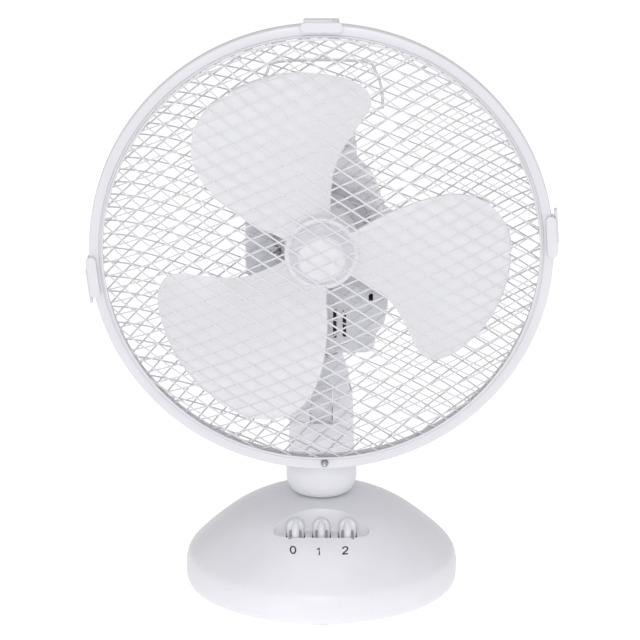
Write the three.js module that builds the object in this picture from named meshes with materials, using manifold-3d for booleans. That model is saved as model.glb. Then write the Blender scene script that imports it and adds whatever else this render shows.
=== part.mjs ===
// Desk fan, 9-inch class: domed base with three push buttons, short neck that tilts and swings,
// shaded-pole motor with a worm-driven oscillator, three-blade rotor, wire-mesh guards and a clamp ring.
// Millimetres, +Z up, the fan faces -Y. The origin is the middle of the base on the table top.
import * as THREE from 'three';
import { mergeVertices } from 'three/addons/utils/BufferGeometryUtils.js';
import Module from 'manifold-3d';

const wasm = await Module();
wasm.setup();

// ---- driving dimensions ------------------------------------------------------------------------
const GAP = 0.3;                  // clearance between touching or cut pieces
const WALL = 2.4;                 // wall of the moulded shells
const BASE_R = 86.5;              // base radius
const FOOT_H = 2.3;               // height of the rubber feet
const COLLAR_R = 22.4;            // foot of the neck column
const COLLAR_Z = 64.5;            // where the column stands on the dome
const TILT_Z = 134;               // height of the tilt bolt
const SOCKET_R = 29;              // ball-shaped seat between column and yoke, about the tilt bolt
const SHOULDER_R = 20.3;          // column and yoke radius at that seat
const YOKE_TOP = 156;             // top of the tilt yoke
const HEAD_Z = 240;               // height of the motor shaft
const RING_R = 143.5;             // outside of the guard clamp ring
const RING_FRONT = -58;           // front of the clamp ring
const RING_BACK = -50;            // back of the clamp ring
const MESH_R = 136.9;             // radius of the wire mesh panels
const RIM_R = 141;                // outside of the guards' rims, inside the clamp ring
const RING_SIDES = 40;            // facets round the clamp ring and the guards' rims
const MESH_T = 1.2;               // thickness of the mesh panels
const BAR = 1.6;                  // width of a mesh bar
const CELL_W = 36;                // width of a mesh diamond
const CELL_H = 36;                // height of a mesh diamond
const BLADE_R = 115.5;            // tip radius of the blades
const BLADE_Y = -62;              // middle of the blades, along the shaft
const BLADE_T = 1.8;              // thickness of a blade
const HELIX = 17;                 // rise of a blade in mm per radian
const SHAFT_R = 4;                // motor shaft radius
const MOTOR_FRONT = -16;          // front face of the motor housing
const SPLIT_Y = 12;               // joint between the front and rear housing
const MOTOR_R = 39.2;             // round top of the motor housing, about the shaft
const KEY_PITCH = 16.4;           // distance between the push buttons
const KEY_W = 8;                  // width of a push button
const KEY_Y = -44.5;              // middle of the push buttons
const CLUTCH_X = 13.2;            // vertical gear shaft, beside the motor shaft
const GEAR_Y = 36;                // gears, behind the motor

// ---- materials -----------------------------------------------------------------------------------
const finish = (color, roughness, metalness = 0) =>
  new THREE.MeshStandardMaterial({ color, roughness, metalness });
const WHITE = finish('#e6e6ea', 0.45);
const BLADE = finish('#e9e9ec', 0.4);
const GUARD = finish('#dcdce0', 0.35, 0.2);
const STEEL = finish('#9a9c9e', 0.35, 1);
const DARK = finish('#3a3a3c', 0.6);
const RUBBER = finish('#2b2b2d', 0.9);
const COPPER = finish('#a8623a', 0.4, 0.9);
const IRON = finish('#5d5f61', 0.7, 0.8);
const NYLON = finish('#efeee6', 0.5);

// ---- geometry helpers ----------------------------------------------------------------------------
// A closed geometry as a solid, with its faces turned outwards.
function solid(geometry) {
  const plain = geometry.clone();
  plain.deleteAttribute('normal');
  plain.deleteAttribute('uv');
  const merged = mergeVertices(plain, 1e-4);
  const p = merged.getAttribute('position');
  const triangles = merged.index.array;
  const kept = [];
  let volume = 0;
  const [a, b, c] = [new THREE.Vector3(), new THREE.Vector3(), new THREE.Vector3()];
  for (let i = 0; i < triangles.length; i += 3) {
    const [u, v, w] = [triangles[i], triangles[i + 1], triangles[i + 2]];
    if (u === v || v === w || w === u) continue;
    a.fromBufferAttribute(p, u);
    b.fromBufferAttribute(p, v);
    c.fromBufferAttribute(p, w);
    volume += a.dot(b.cross(c));
    kept.push(u, v, w);
  }
  if (volume < 0) kept.reverse();
  return new wasm.Manifold(new wasm.Mesh({
    numProp: 3,
    vertProperties: new Float32Array(p.array),
    triVerts: new Uint32Array(kept),
  }));
}

function toGeometry(body) {
  const mesh = body.getMesh();
  const geometry = new THREE.BufferGeometry();
  geometry.setAttribute('position', new THREE.BufferAttribute(new Float32Array(mesh.vertProperties), 3));
  geometry.setIndex(new THREE.BufferAttribute(new Uint32Array(mesh.triVerts), 1));
  geometry.computeVertexNormals();
  return geometry;
}

const join = (...bodies) => bodies.reduce((sum, body) => sum.add(body));
const cut = (body, ...tools) => tools.reduce((rest, tool) => rest.subtract(tool), body);

// A box between two corners.
function box(low, high) {
  const size = high.map((v, i) => v - low[i]);
  const middle = high.map((v, i) => (v + low[i]) / 2);
  return solid(new THREE.BoxGeometry(...size).translate(...middle));
}

// A cylinder or cone along an axis from one coordinate to another, about a centre line.
function rod(axis, centre, from, to, radius, sides = 24, radiusTo = radius) {
  const g = new THREE.CylinderGeometry(radiusTo, radius, to - from, sides).translate(0, (from + to) / 2, 0);
  if (axis === 'z') g.rotateX(Math.PI / 2).translate(centre[0], centre[1], 0);
  if (axis === 'y') g.translate(centre[0], 0, centre[1]);
  if (axis === 'x') g.rotateZ(-Math.PI / 2).translate(0, centre[0], centre[1]);
  return solid(g);
}

const points = (list) => list.map(([r, h]) => new THREE.Vector2(r, h));

// A profile of (radius, height) turned about the vertical axis, or about the motor shaft.
const turned = (list, sides = 48) => solid(new THREE.LatheGeometry(points(list), sides).rotateX(Math.PI / 2));
const turnedOnShaft = (list, sides = 48) => solid(new THREE.LatheGeometry(points(list), sides)
  .translate(0, 0, HEAD_Z));

// A closed ring section as a profile for turned().
const ringSection = (r0, r1, h0, h1) => [[r0, h0], [r1, h0], [r1, h1], [r0, h1], [r0, h0]];

// An outline in the XZ plane, given as a Shape, from one Y to another.
function slab(shape, fromY, toY, steps = 6) {
  const g = new THREE.ExtrudeGeometry(shape, { depth: toY - fromY, bevelEnabled: false, curveSegments: steps });
  return solid(g.rotateX(Math.PI / 2).translate(0, toY, 0));
}

const model = new THREE.Group();
function place(name, body, material) {
  const mesh = new THREE.Mesh(toGeometry(body), material);
  mesh.name = name;
  model.add(mesh);
}

// ---- base ------------------------------------------------------------------------------------------
const DOME = [
  [84.6, 2.6], [BASE_R, 5.5], [BASE_R, 16], [84.6, 22], [79, 28.5], [68.3, 38.2], [57, 47], [45, 53.6],
  [32, 58.7], [19.5, 62], [17.5, 64.2],
];
const DOME_INSIDE = [
  [14.3, 64.2], [14.3, 59.2], [30, 56.4], [43.5, 51.2], [66.4, 36.2], [82.2, 20.6], [84.1, 15.6], [84.1, 2.6],
];
const SCREW_CIRCLE = 68;
const GLAND_Z = 11.8;
const corners = [45, 135, 225, 315].map((deg) => THREE.MathUtils.degToRad(deg));
const onCircle = (angle, radius) => [radius * Math.cos(angle), radius * Math.sin(angle)];
const RECESS_FLOOR = 46.5;
const keyX = (i) => (i - 1) * KEY_PITCH;

// An oval tub in front of the neck that leans back and widens to its mouth, for the push buttons.
// Its floor and its mouth are each written as [half width, half depth, Y of the middle].
function oval(floor, mouth, fromZ, toZ) {
  const g = new THREE.CylinderGeometry(1, 1, 2, 24).rotateX(Math.PI / 2);
  const p = g.getAttribute('position');
  for (let n = 0; n < p.count; n += 1) {
    const [end, z] = p.getZ(n) > 0 ? [mouth, toZ] : [floor, fromZ];
    p.setXYZ(n, p.getX(n) * end[0], end[2] + p.getY(n) * end[1], z);
  }
  return solid(g);
}

function baseShell() {
  const shell = turned([...DOME, ...DOME_INSIDE, DOME[0]], 36);
  const envelope = turned([[0, 2.6], ...DOME, [0, 64.2]], 36);
  const tub = oval([32.2, 11.8, KEY_Y], [34.4, 15.2, KEY_Y + 5.5], RECESS_FLOOR - 2.2, 68).intersect(envelope);
  const recess = oval([30, 9.6, KEY_Y], [32.2, 13, KEY_Y + 5.5], RECESS_FLOOR, 68);
  const bosses = corners.map((angle) => rod('z', onCircle(angle, SCREW_CIRCLE), 5, 32.5, 4.2, 8));
  const bossBores = corners.map((angle) => rod('z', onCircle(angle, SCREW_CIRCLE), 4, 20, 1.9, 8));
  const slots = [0, 1, 2].map((i) => box(
    [keyX(i) - KEY_W / 2 - 1, KEY_Y - 6.6, RECESS_FLOOR - 6], [keyX(i) + KEY_W / 2 + 1, KEY_Y + 6.6, RECESS_FLOOR + 1],
  ));
  const inlet = rod('y', [0, GLAND_Z], 78, 90, 5.3, 16);
  return cut(join(shell, tub, ...bosses), recess, ...bossBores, ...slots, inlet);
}
place('base_shell', baseShell(), WHITE);

const PLATE_TOP = 4.7;
function basePlate() {
  const plate = turned([[0, FOOT_H + GAP], [83.6, FOOT_H + GAP], [83.6, PLATE_TOP], [0, PLATE_TOP], [0, FOOT_H + GAP]]);
  const holes = corners.map((angle) => rod('z', onCircle(angle, SCREW_CIRCLE), 0, 6, 2.1, 8));
  const seats = corners.map((angle) => rod('z', onCircle(angle, SCREW_CIRCLE), 0, 3.9, 3.9, 10));
  return cut(plate, ...holes, ...seats);
}
place('base_plate', basePlate(), WHITE);

corners.forEach((angle, i) => {
  const head = rod('z', onCircle(angle, SCREW_CIRCLE), 2.8, 3.6, 3.4, 12);
  const thread = rod('z', onCircle(angle, SCREW_CIRCLE), 3, 15, 1.6, 8);
  place(`base_screw_${i + 1}`, head.add(thread), STEEL);
  const foot = new THREE.LatheGeometry(points([[0, 0], [7, 0], [8, FOOT_H], [0, FOOT_H]]), 20)
    .rotateX(Math.PI / 2)
    .translate(...onCircle(angle + Math.PI / 4, SCREW_CIRCLE), 0);
  place(`rubber_foot_${i + 1}`, solid(foot), RUBBER);
});

place('ballast_weight', turned(ringSection(16, 56, PLATE_TOP + GAP, 12), 28), IRON);

const GLAND = [[3.4, 79.2], [6.2, 79.2], [6.2, 82.4], [5, 82.4], [5, 86.8], [6.6, 86.8], [5.6, 88.4], [3.4, 88.4], [3.4, 79.2]];
place('cord_gland', solid(new THREE.LatheGeometry(points(GLAND), 14).translate(0, 0, GLAND_Z)), DARK);

// ---- push-button switch ------------------------------------------------------------------------------
const SWITCH_TOP = 33;
function switchBlock() {
  const body = box([-29, KEY_Y - 8, 16], [29, KEY_Y + 10, SWITCH_TOP]);
  const wells = [0, 1, 2].map((i) => box(
    [keyX(i) - KEY_W / 2 - 0.5, KEY_Y - 4.5, 19], [keyX(i) + KEY_W / 2 + 0.5, KEY_Y + 5.5, SWITCH_TOP + 1],
  ));
  return cut(body, ...wells);
}
place('switch_block', switchBlock(), DARK);

// A finger-shaped key: a stem in the switch and a hooded cap that leans back at its top.
function pushButton(i) {
  const side = new THREE.Shape();
  side.moveTo(-5.6, RECESS_FLOOR - 4.5);
  side.lineTo(-5.6, RECESS_FLOOR + 3.2);
  side.quadraticCurveTo(-4.6, RECESS_FLOOR + 6.6, 0.4, RECESS_FLOOR + 9.4);
  side.quadraticCurveTo(4.6, RECESS_FLOOR + 10.4, 5.6, RECESS_FLOOR + 8.4);
  side.lineTo(5.6, RECESS_FLOOR - 4.5);
  side.closePath();
  const cap = new THREE.ExtrudeGeometry(side, { depth: KEY_W, bevelEnabled: false, curveSegments: 5 })
    .translate(0, 0, -KEY_W / 2)
    .rotateX(Math.PI / 2)
    .rotateZ(Math.PI / 2)
    .translate(keyX(i), KEY_Y, 0);
  const stem = box([keyX(i) - 3, KEY_Y - 3.5, 24], [keyX(i) + 3, KEY_Y + 4.5, RECESS_FLOOR]);
  const ridge = new THREE.CylinderGeometry(KEY_W / 2 + 0.02, KEY_W / 2 + 0.02, 40, 20)
    .rotateX(0.42)
    .rotateX(Math.PI / 2)
    .translate(keyX(i), KEY_Y + 1, RECESS_FLOOR);
  const back = box([keyX(i) - 5, KEY_Y, RECESS_FLOOR - 5], [keyX(i) + 5, KEY_Y + 8, RECESS_FLOOR + 12]);
  return join(solid(cap).intersect(solid(ridge).add(back)), stem);
}
[0, 1, 2].forEach((i) => place(`push_button_${i}`, pushButton(i), WHITE));

// ---- neck ------------------------------------------------------------------------------------------
const TONGUE_W = 6.7;
const TONGUE_R = 9.6;
function ball(radius) {
  return solid(new THREE.SphereGeometry(radius, 24, 14).translate(0, 0, TILT_Z));
}

// The fixed tongue that carries the tilt bolt: wide at its root and round at its top.
function tongueSide(halfWidth, root, top) {
  const s = new THREE.Shape();
  s.moveTo(-root, 98);
  s.lineTo(-root, TILT_Z - 12);
  s.lineTo(-top, TILT_Z);
  s.absarc(0, TILT_Z, top, Math.PI, 0, true);
  s.lineTo(root, TILT_Z - 12);
  s.lineTo(root, 98);
  s.closePath();
  const g = new THREE.ExtrudeGeometry(s, { depth: 2 * halfWidth, bevelEnabled: false, curveSegments: 8 });
  return solid(g.translate(0, 0, -halfWidth).rotateX(Math.PI / 2).rotateZ(Math.PI / 2));
}

function neckColumn() {
  const outside = [
    [0, 48], [14, 48], [14, COLLAR_Z], [COLLAR_R - 1.5, COLLAR_Z], [COLLAR_R, COLLAR_Z + 2], [COLLAR_R, 78],
    [21.4, 81.5], [21, 90], [SHOULDER_R, 113.3], [0, 113.3],
  ];
  const post = cut(turned(outside, 24), ball(SOCKET_R + 1));
  const tongue = tongueSide(TONGUE_W, 16.5, TONGUE_R).intersect(rod('z', [0, 0], 90, 150, 18.6, 24));
  const wireway = rod('z', [0, 0], 40, 94, 9, 20);
  const boltHole = rod('x', [0, TILT_Z], -20, 20, 3.5, 20);
  return cut(join(post, tongue), wireway, boltHole);
}
place('neck_column', neckColumn(), WHITE);
place('column_nut', cut(rod('z', [0, 0], 50, 55.5, 21, 6), rod('z', [0, 0], 40, 60, 14.5, 24)), STEEL);

function tiltYoke() {
  const outside = [
    [0, 104], [27, 104], [SHOULDER_R, 112.4], [19.7, 129], [17.6, 140], [14.6, 150], [13, YOKE_TOP], [0, YOKE_TOP],
  ];
  const seat = ball(SOCKET_R).add(rod('z', [0, 0], 114, 160, 28, 24));
  const trimmed = turned(outside, 24).intersect(seat).intersect(rod('z', [0, 0], 100, 160, SHOULDER_R, 24));
  const slot = box([-TONGUE_W - 0.6, -30, 90], [TONGUE_W + 0.6, 30, TILT_Z])
    .add(rod('x', [0, TILT_Z], -TONGUE_W - 0.6, TONGUE_W + 0.6, TONGUE_R + 0.8, 24));
  const arch = rod('y', [0, TILT_Z + 1], -30, 30, TONGUE_W + 0.6, 20);
  const boltHole = rod('x', [0, TILT_Z], -30, 30, 3.4, 20);
  const headPocket = rod('x', [0, TILT_Z], 14, 30, 6.3, 20);
  const nutPocket = rod('x', [0, TILT_Z], -30, -15, 6.3, 6);
  const shaftHole = rod('z', [0, 0], TILT_Z + TONGUE_R + 2.5, 170, 5.3, 24);
  return cut(trimmed, slot, arch, boltHole, headPocket, nutPocket, shaftHole);
}
place('tilt_yoke', tiltYoke(), WHITE);
place('tilt_bolt', rod('x', [0, TILT_Z], -17.6, 15, 3.1, 20).add(rod('x', [0, TILT_Z], 14.4, 17.4, 5.6, 20)), STEEL);
const boltNut = cut(rod('x', [0, TILT_Z], -18, -15.3, 5.8, 6), rod('x', [0, TILT_Z], -20, -10, 3.4, 20));
place('tilt_nut', boltNut, STEEL);

const FLOOR_Z = YOKE_TOP + 1.8;                 // underside of the motor housing
const FLOOR_T = 8;                              // thickness of its pivot boss
place('pivot_shaft', rod('z', [0, 0], TILT_Z + TONGUE_R + 2.8, 174, 5, 24), STEEL);
place('pivot_washer', turned(ringSection(5.4, 12, YOKE_TOP + GAP, FLOOR_Z - GAP), 20), NYLON);

// A plate on top of the pivot shaft that keeps the head on it and carries the link's stud.
const STUD = [-17, 6];
function pivotPlate() {
  const z0 = FLOOR_Z + FLOOR_T + GAP;
  const disc = rod('z', [0, 0], z0, z0 + 2, 9, 24);
  const arm = solid(new THREE.BoxGeometry(18, 6, 2).rotateZ(Math.atan2(STUD[1], STUD[0]))
    .translate(STUD[0] / 2, STUD[1] / 2, z0 + 1));
  const end = rod('z', STUD, z0, z0 + 2, 3.4, 16);
  const stud = rod('z', STUD, z0 + 1, z0 + 6.6, 1.8, 16);
  return cut(join(disc, arm, end), rod('z', [0, 0], 160, 190, 5.3, 24)).add(stud);
}
place('pivot_plate', pivotPlate(), STEEL);

// ---- oscillator gears --------------------------------------------------------------------------------
const LINK_Z = 171.3;
const CRANK_Y = GEAR_Y - 4;
const CRANK_PIN = [0, CRANK_Y - 6];
function oscillatorLink() {
  const dx = CRANK_PIN[0] - STUD[0];
  const dy = CRANK_PIN[1] - STUD[1];
  const bar = solid(new THREE.BoxGeometry(Math.hypot(dx, dy), 5, 1.8).rotateZ(Math.atan2(dy, dx))
    .translate(STUD[0] + dx / 2, STUD[1] + dy / 2, LINK_Z + 0.9));
  const ends = [STUD, CRANK_PIN].map((end) => rod('z', end, LINK_Z, LINK_Z + 1.8, 3.8, 20));
  return cut(join(bar, ...ends), rod('z', STUD, 160, 190, 2.1, 16), rod('z', CRANK_PIN, 160, 190, 2.1, 16));
}
place('oscillator_link', oscillatorLink(), STEEL);

const GEAR_Z = 182;
const PINION_R = 3.6;
const CRANK_R = 10;
const crankCentre = [CLUTCH_X - Math.sqrt((PINION_R + CRANK_R + GAP) ** 2 - (GEAR_Y - CRANK_Y) ** 2), CRANK_Y];
const crankDisc = rod('z', crankCentre, GEAR_Z, GEAR_Z + 4, CRANK_R, 24);
const crankStub = rod('z', crankCentre, GEAR_Z + 3, 197, 2.4, 16);
const crankPin = rod('z', CRANK_PIN, LINK_Z + 2.3, GEAR_Z + 1, 1.8, 12);
place('crank_gear', join(crankDisc, crankStub, crankPin), NYLON);

const clutchCentre = [CLUTCH_X, GEAR_Y];
const clutchRod = rod('z', clutchCentre, GEAR_Z - 1, 258, 2.4, 16);
const pinion = rod('z', clutchCentre, GEAR_Z - 1, GEAR_Z + 5, PINION_R, 16);
place('clutch_shaft', clutchRod.add(pinion), STEEL);
const wheelBody = rod('z', clutchCentre, HEAD_Z - 4, HEAD_Z + 4, 8.6, 28);
place('worm_wheel', cut(wheelBody, rod('z', clutchCentre, 230, 250, 2.7, 16)), NYLON);

// ---- motor housing -----------------------------------------------------------------------------------
const EAR_X = 48;
const EAR_TOP = 243.5;
// Front outline: a round top about the shaft, two ears at the sides and a narrower foot over the neck.
function housingOutline(inset) {
  const s = new THREE.Shape();
  const foot = FLOOR_Z + inset;
  const circleX = Math.sqrt((MOTOR_R - inset) ** 2 - (EAR_TOP - inset - HEAD_Z) ** 2);
  const circleAngle = Math.asin((EAR_TOP - inset - HEAD_Z) / (MOTOR_R - inset));
  s.moveTo(-28 + inset, foot);
  s.quadraticCurveTo(-33.5 + inset, foot, -35 + inset, foot + 13);
  s.lineTo(-39.5 + inset, 176);
  s.lineTo(-42 + inset, 188);
  s.lineTo(-42 + inset, 206 - inset);
  s.lineTo(-EAR_X + inset, 212 - inset / 2);
  s.lineTo(-EAR_X + inset, EAR_TOP - inset);
  s.lineTo(-circleX, EAR_TOP - inset);
  s.absarc(0, HEAD_Z, MOTOR_R - inset, Math.PI - circleAngle, circleAngle, true);
  s.lineTo(EAR_X - inset, EAR_TOP - inset);
  s.lineTo(EAR_X - inset, 212 - inset / 2);
  s.lineTo(42 - inset, 206 - inset);
  s.lineTo(42 - inset, 188);
  s.lineTo(39.5 - inset, 176);
  s.lineTo(35 - inset, foot + 13);
  s.quadraticCurveTo(33.5 - inset, foot, 28 - inset, foot);
  s.closePath();
  return s;
}

// A slot along an arc about the shaft, between two angles.
function arcSlot(radius, width, fromDeg, toDeg) {
  const [a, b] = [fromDeg, toDeg].map(THREE.MathUtils.degToRad);
  const s = new THREE.Shape();
  s.absarc(0, HEAD_Z, radius + width / 2, a, b, false);
  s.absarc(0, HEAD_Z, radius - width / 2, b, a, true);
  s.closePath();
  return slab(s, MOTOR_FRONT - 6, MOTOR_FRONT + 5, 2);
}

const EAR_SCREW = [28.8, 226.5];
const pivotBoss = (outer) => rod('z', [0, 0], FLOOR_Z, FLOOR_Z + FLOOR_T, outer, 28);
function frontHousing() {
  const outside = slab(housingOutline(0), MOTOR_FRONT, SPLIT_Y);
  const inside = slab(housingOutline(WALL), MOTOR_FRONT + WALL, SPLIT_Y + 2);
  const nose = turnedOnShaft([[0, -27], [13, -27], [14.4, -25.6], [14.4, MOTOR_FRONT + 3], [0, MOTOR_FRONT + 3]], 32);
  const bearingSeat = turnedOnShaft([[0, -20], [12, -20], [12, -9], [0, -9]], 24);
  const shaftHole = rod('y', [0, HEAD_Z], -40, 0, 7.3, 24);
  const arcs = Array.from({ length: 8 }, (_, k) => arcSlot(23.6, 3, k * 45 - 5, k * 45 + 24));
  const slits = [-15.6, -9.6, -3.6, 2.4, 8.4, 14.4].map((x) => box(
    [x - 1.1, MOTOR_FRONT - 4, 169], [x + 1.1, MOTOR_FRONT + 4, 188],
  ));
  const sideSlot = box([29.6, MOTOR_FRONT - 4, 193.5], [32.4, MOTOR_FRONT + 4, 198.5]);
  const screwHoles = [-1, 1].map((side) => rod('y', [side * EAR_SCREW[0], EAR_SCREW[1]], -30, 5, 2, 12));
  const pillars = [-1, 1].map((side) => rod('y', [side * EAR_SCREW[0], EAR_SCREW[1]], MOTOR_FRONT, -9, 4.5, 16));
  const shell = join(cut(outside, inside), nose, bearingSeat, ...pillars);
  const halfBoss = pivotBoss(13);
  const pivotHole = rod('z', [0, 0], 150, 175, 5.4, 24);
  return cut(join(shell, halfBoss), shaftHole, ...arcs, ...slits, sideSlot, ...screwHoles, pivotHole);
}
place('motor_front_housing', frontHousing(), WHITE);

const HOUSING_BACK = 78;
// The rear half follows the same outline and rounds off over the gears.
function rearBody(inset, back) {
  const layers = [[SPLIT_Y + GAP, 1], [SPLIT_Y + 30, 0.98], [back - 18, 0.9], [back - 6, 0.72], [back, 0.5]];
  const loft = layers.slice(1).map(([y, k], i) => {
    const [y0, k0] = layers[i];
    const g = new THREE.ExtrudeGeometry(housingOutline(inset), { depth: 1, bevelEnabled: false, curveSegments: 6 })
      .rotateX(Math.PI / 2);
    const p = g.getAttribute('position');
    for (let n = 0; n < p.count; n += 1) {
      const rear = p.getY(n) > -0.5;
      const scale = rear ? k : k0;
      p.setXYZ(n, p.getX(n) * scale, rear ? y : y0, 222 + (p.getZ(n) - 222) * scale);
    }
    return solid(g);
  });
  return join(...loft);
}
const KNOB_HOLE_R = 3.6;
const HUMP_TOP = 280;             // top of the gear cover that stands on the rear housing
function rearHousing() {
  const inside = rearBody(WALL, HOUSING_BACK - WALL).add(slab(housingOutline(WALL), SPLIT_Y - 2, SPLIT_Y + 1));
  const hump = box([-4, 24, 250], [22.5, 54, HUMP_TOP]);
  const humpInside = box([-4 + WALL, 24 + WALL, 245], [22.5 - WALL, 54 - WALL, HUMP_TOP - WALL]);
  const shell = cut(join(rearBody(0, HOUSING_BACK), hump), inside, humpInside);
  const slits = [-20, -12, -4, 4, 12, 20].map((x) => box([x - 1.5, 50, 226], [x + 1.5, 90, 250]));
  const knobHole = rod('z', clutchCentre, HUMP_TOP - 8, 300, KNOB_HOLE_R, 20);
  const bossRoom = rod('z', [0, 0], 150, FLOOR_Z + FLOOR_T + 1, 13.4, 28);
  const lowPart = box([-60, SPLIT_Y - 3, 150], [60, 90, 200]);
  return cut(shell, ...slits, knobHole, bossRoom.intersect(lowPart));
}
place('motor_rear_housing', rearHousing(), WHITE);

[-1, 1].forEach((side, i) => {
  const centre = [side * EAR_SCREW[0], EAR_SCREW[1]];
  const head = rod('y', centre, MOTOR_FRONT - 2.1, MOTOR_FRONT - GAP, 3.6, 16);
  place(`housing_screw_${i + 1}`, head.add(rod('y', centre, MOTOR_FRONT - 1, -4, 1.7, 10)), STEEL);
});

// ---- motor -------------------------------------------------------------------------------------------
const CORE_FRONT = -1;
const CORE_BACK = 19;
const coreBore = rod('y', [0, HEAD_Z], -10, 40, 16.4, 32);
place('stator_core', cut(box([-25, CORE_FRONT, 215], [25, CORE_BACK, 265]), coreBore), IRON);
place('stator_winding_front', turnedOnShaft(ringSection(18.5, 27, -8, CORE_FRONT - GAP), 20), COPPER);
place('stator_winding_rear', turnedOnShaft(ringSection(18.5, 27, CORE_BACK + GAP, 26), 20), COPPER);
place('rotor_core', turnedOnShaft(ringSection(SHAFT_R + GAP, 16, CORE_FRONT, CORE_BACK), 20), IRON);
place('front_bearing', turnedOnShaft(ringSection(SHAFT_R + GAP, 7, -19.5, -9.5), 16), STEEL);

// The gearbox bracket behind the stator carries the rear bearing; the crank's stub turns in its lower shelf.
function gearbox() {
  const plate = box([-24, 27, 205], [24, 30, 258]);
  const lower = box([-20, 27, 192.6], [22, 50, 195.6]);
  const web = box([-20, 27, 195], [22, 30, 206]);
  const upper = box([2, 27, 252], [24, 46, 255]);
  const bore = rod('y', [0, HEAD_Z], 20, 40, 7.3, 24);
  const clutchBore = rod('z', clutchCentre, 180, 270, 2.8, 16);
  const crankBore = rod('z', crankCentre, 180, 200, 2.8, 16);
  const wheelWindow = box([3, 26, HEAD_Z - 5.5], [24, 31, HEAD_Z + 5.5]);
  return cut(join(plate, lower, web, upper), bore, clutchBore, crankBore, wheelWindow);
}
place('gearbox_bracket', gearbox(), STEEL);
place('rear_bearing', turnedOnShaft(ringSection(SHAFT_R + GAP, 7, 26.5, 29.6), 16), STEEL);

const WORM_R = CLUTCH_X - 8.6 - GAP;
const SHAFT_FRONT = -70;
const shaftProfile = [
  [0, SHAFT_FRONT], [SHAFT_R, SHAFT_FRONT], [SHAFT_R, 32.5], [WORM_R, 32.5], [WORM_R, 41], [0, 41],
];
place('motor_shaft', turnedOnShaft(shaftProfile, 24), STEEL);

// ---- oscillation knob ----------------------------------------------------------------------------------
const knobProfile = [[0, 260], [2.9, 260], [2.9, 282], [7, 282], [8, 284], [8, 290], [6.6, 292], [0, 292]];
const knob = solid(new THREE.LatheGeometry(points(knobProfile), 16).rotateX(Math.PI / 2)
  .translate(clutchCentre[0], clutchCentre[1], 0));
place('oscillation_knob', knob, WHITE);

// ---- blades ------------------------------------------------------------------------------------------
// One blade outline in polar form, (radius, degrees), from the trailing root round to the leading root.
const BLADE_OUTLINE = [
  [18, 50], [27, 40], [46, 36.5], [60, 33], [70, 31], [80, 29], [90, 26.5], [99, 23], [106, 19], [111.5, 14],
  [114.6, 7.5], [BLADE_R, 0], [115, -7], [114.2, -15], [112.6, -24], [110.4, -31.5], [108.6, -37.5],
  [106.4, -42], [102.5, -46], [96, -48.2], [88, -47.6], [79, -45.6], [70, -43], [60, -40], [46, -37.5],
  [27, -40], [18, -50],
];
const BLADE_ANGLES = [119.8, -0.2, 239.8];

// A helicoid sheet: it rises along the shaft with the angle about it, less steeply near the hub.
function helicoidSector() {
  const width = BLADE_R + 6;
  const g = new THREE.BoxGeometry(2.6, BLADE_T, 1, 12, 1, 4);
  const p = g.getAttribute('position');
  for (let n = 0; n < p.count; n += 1) {
    const angle = p.getX(n);
    const radius = 14 + (p.getZ(n) + 0.5) * (width - 14);
    const rise = HELIX * Math.min(1, 0.1 + radius / 70) * angle;
    p.setXYZ(n, radius * Math.cos(angle), p.getY(n) - rise, radius * Math.sin(angle));
  }
  return solid(g);
}

function bladeOutline() {
  const curve = new THREE.SplineCurve(points(BLADE_OUTLINE.map(([r, deg]) => onCircle(THREE.MathUtils.degToRad(deg), r))));
  return slab(new THREE.Shape(curve.getPoints(30)), -40, 40);
}

const HUB_R = 23;
const HUB_FRONT = -66;
const HUB_BACK = -36;
function fanBlade() {
  const sheet = helicoidSector().intersect(bladeOutline());
  const blades = BLADE_ANGLES.map((deg) => sheet.rotate([0, -deg, 0]).translate([0, BLADE_Y, HEAD_Z]));
  const drum = turnedOnShaft([
    [0, HUB_FRONT], [HUB_R - 2, HUB_FRONT], [HUB_R, HUB_FRONT + 2], [HUB_R, HUB_BACK], [HUB_R - 2, HUB_BACK],
    [HUB_R - 2, HUB_FRONT + 3], [9, HUB_FRONT + 3], [9, HUB_BACK + 2], [0, HUB_BACK + 2],
  ], 30);
  const hollow = turnedOnShaft(ringSection(8, HUB_R - 1, HUB_FRONT + 2, HUB_BACK + 1), 30);
  const ends = [rod('y', [0, HEAD_Z], -90, HUB_FRONT + 1, 29, 24), rod('y', [0, HEAD_Z], HUB_BACK - 1, 0, 29, 24)];
  return cut(join(drum, cut(join(...blades), hollow, ...ends)), rod('y', [0, HEAD_Z], -80, -20, SHAFT_R + GAP, 16));
}
place('fan_blade', fanBlade(), BLADE);

// The spinner screws onto the shaft's end and holds the blades.
const spinner = cut(
  turnedOnShaft([
    [0, -77.5], [11, -77.3], [14.4, -75.4], [15.4, -73], [16.6, HUB_FRONT - GAP], [0, HUB_FRONT - GAP],
  ], 28),
  rod('y', [0, HEAD_Z], SHAFT_FRONT - 1, -60, SHAFT_R + GAP, 16),
);
place('spinner', spinner, BLADE);

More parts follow.
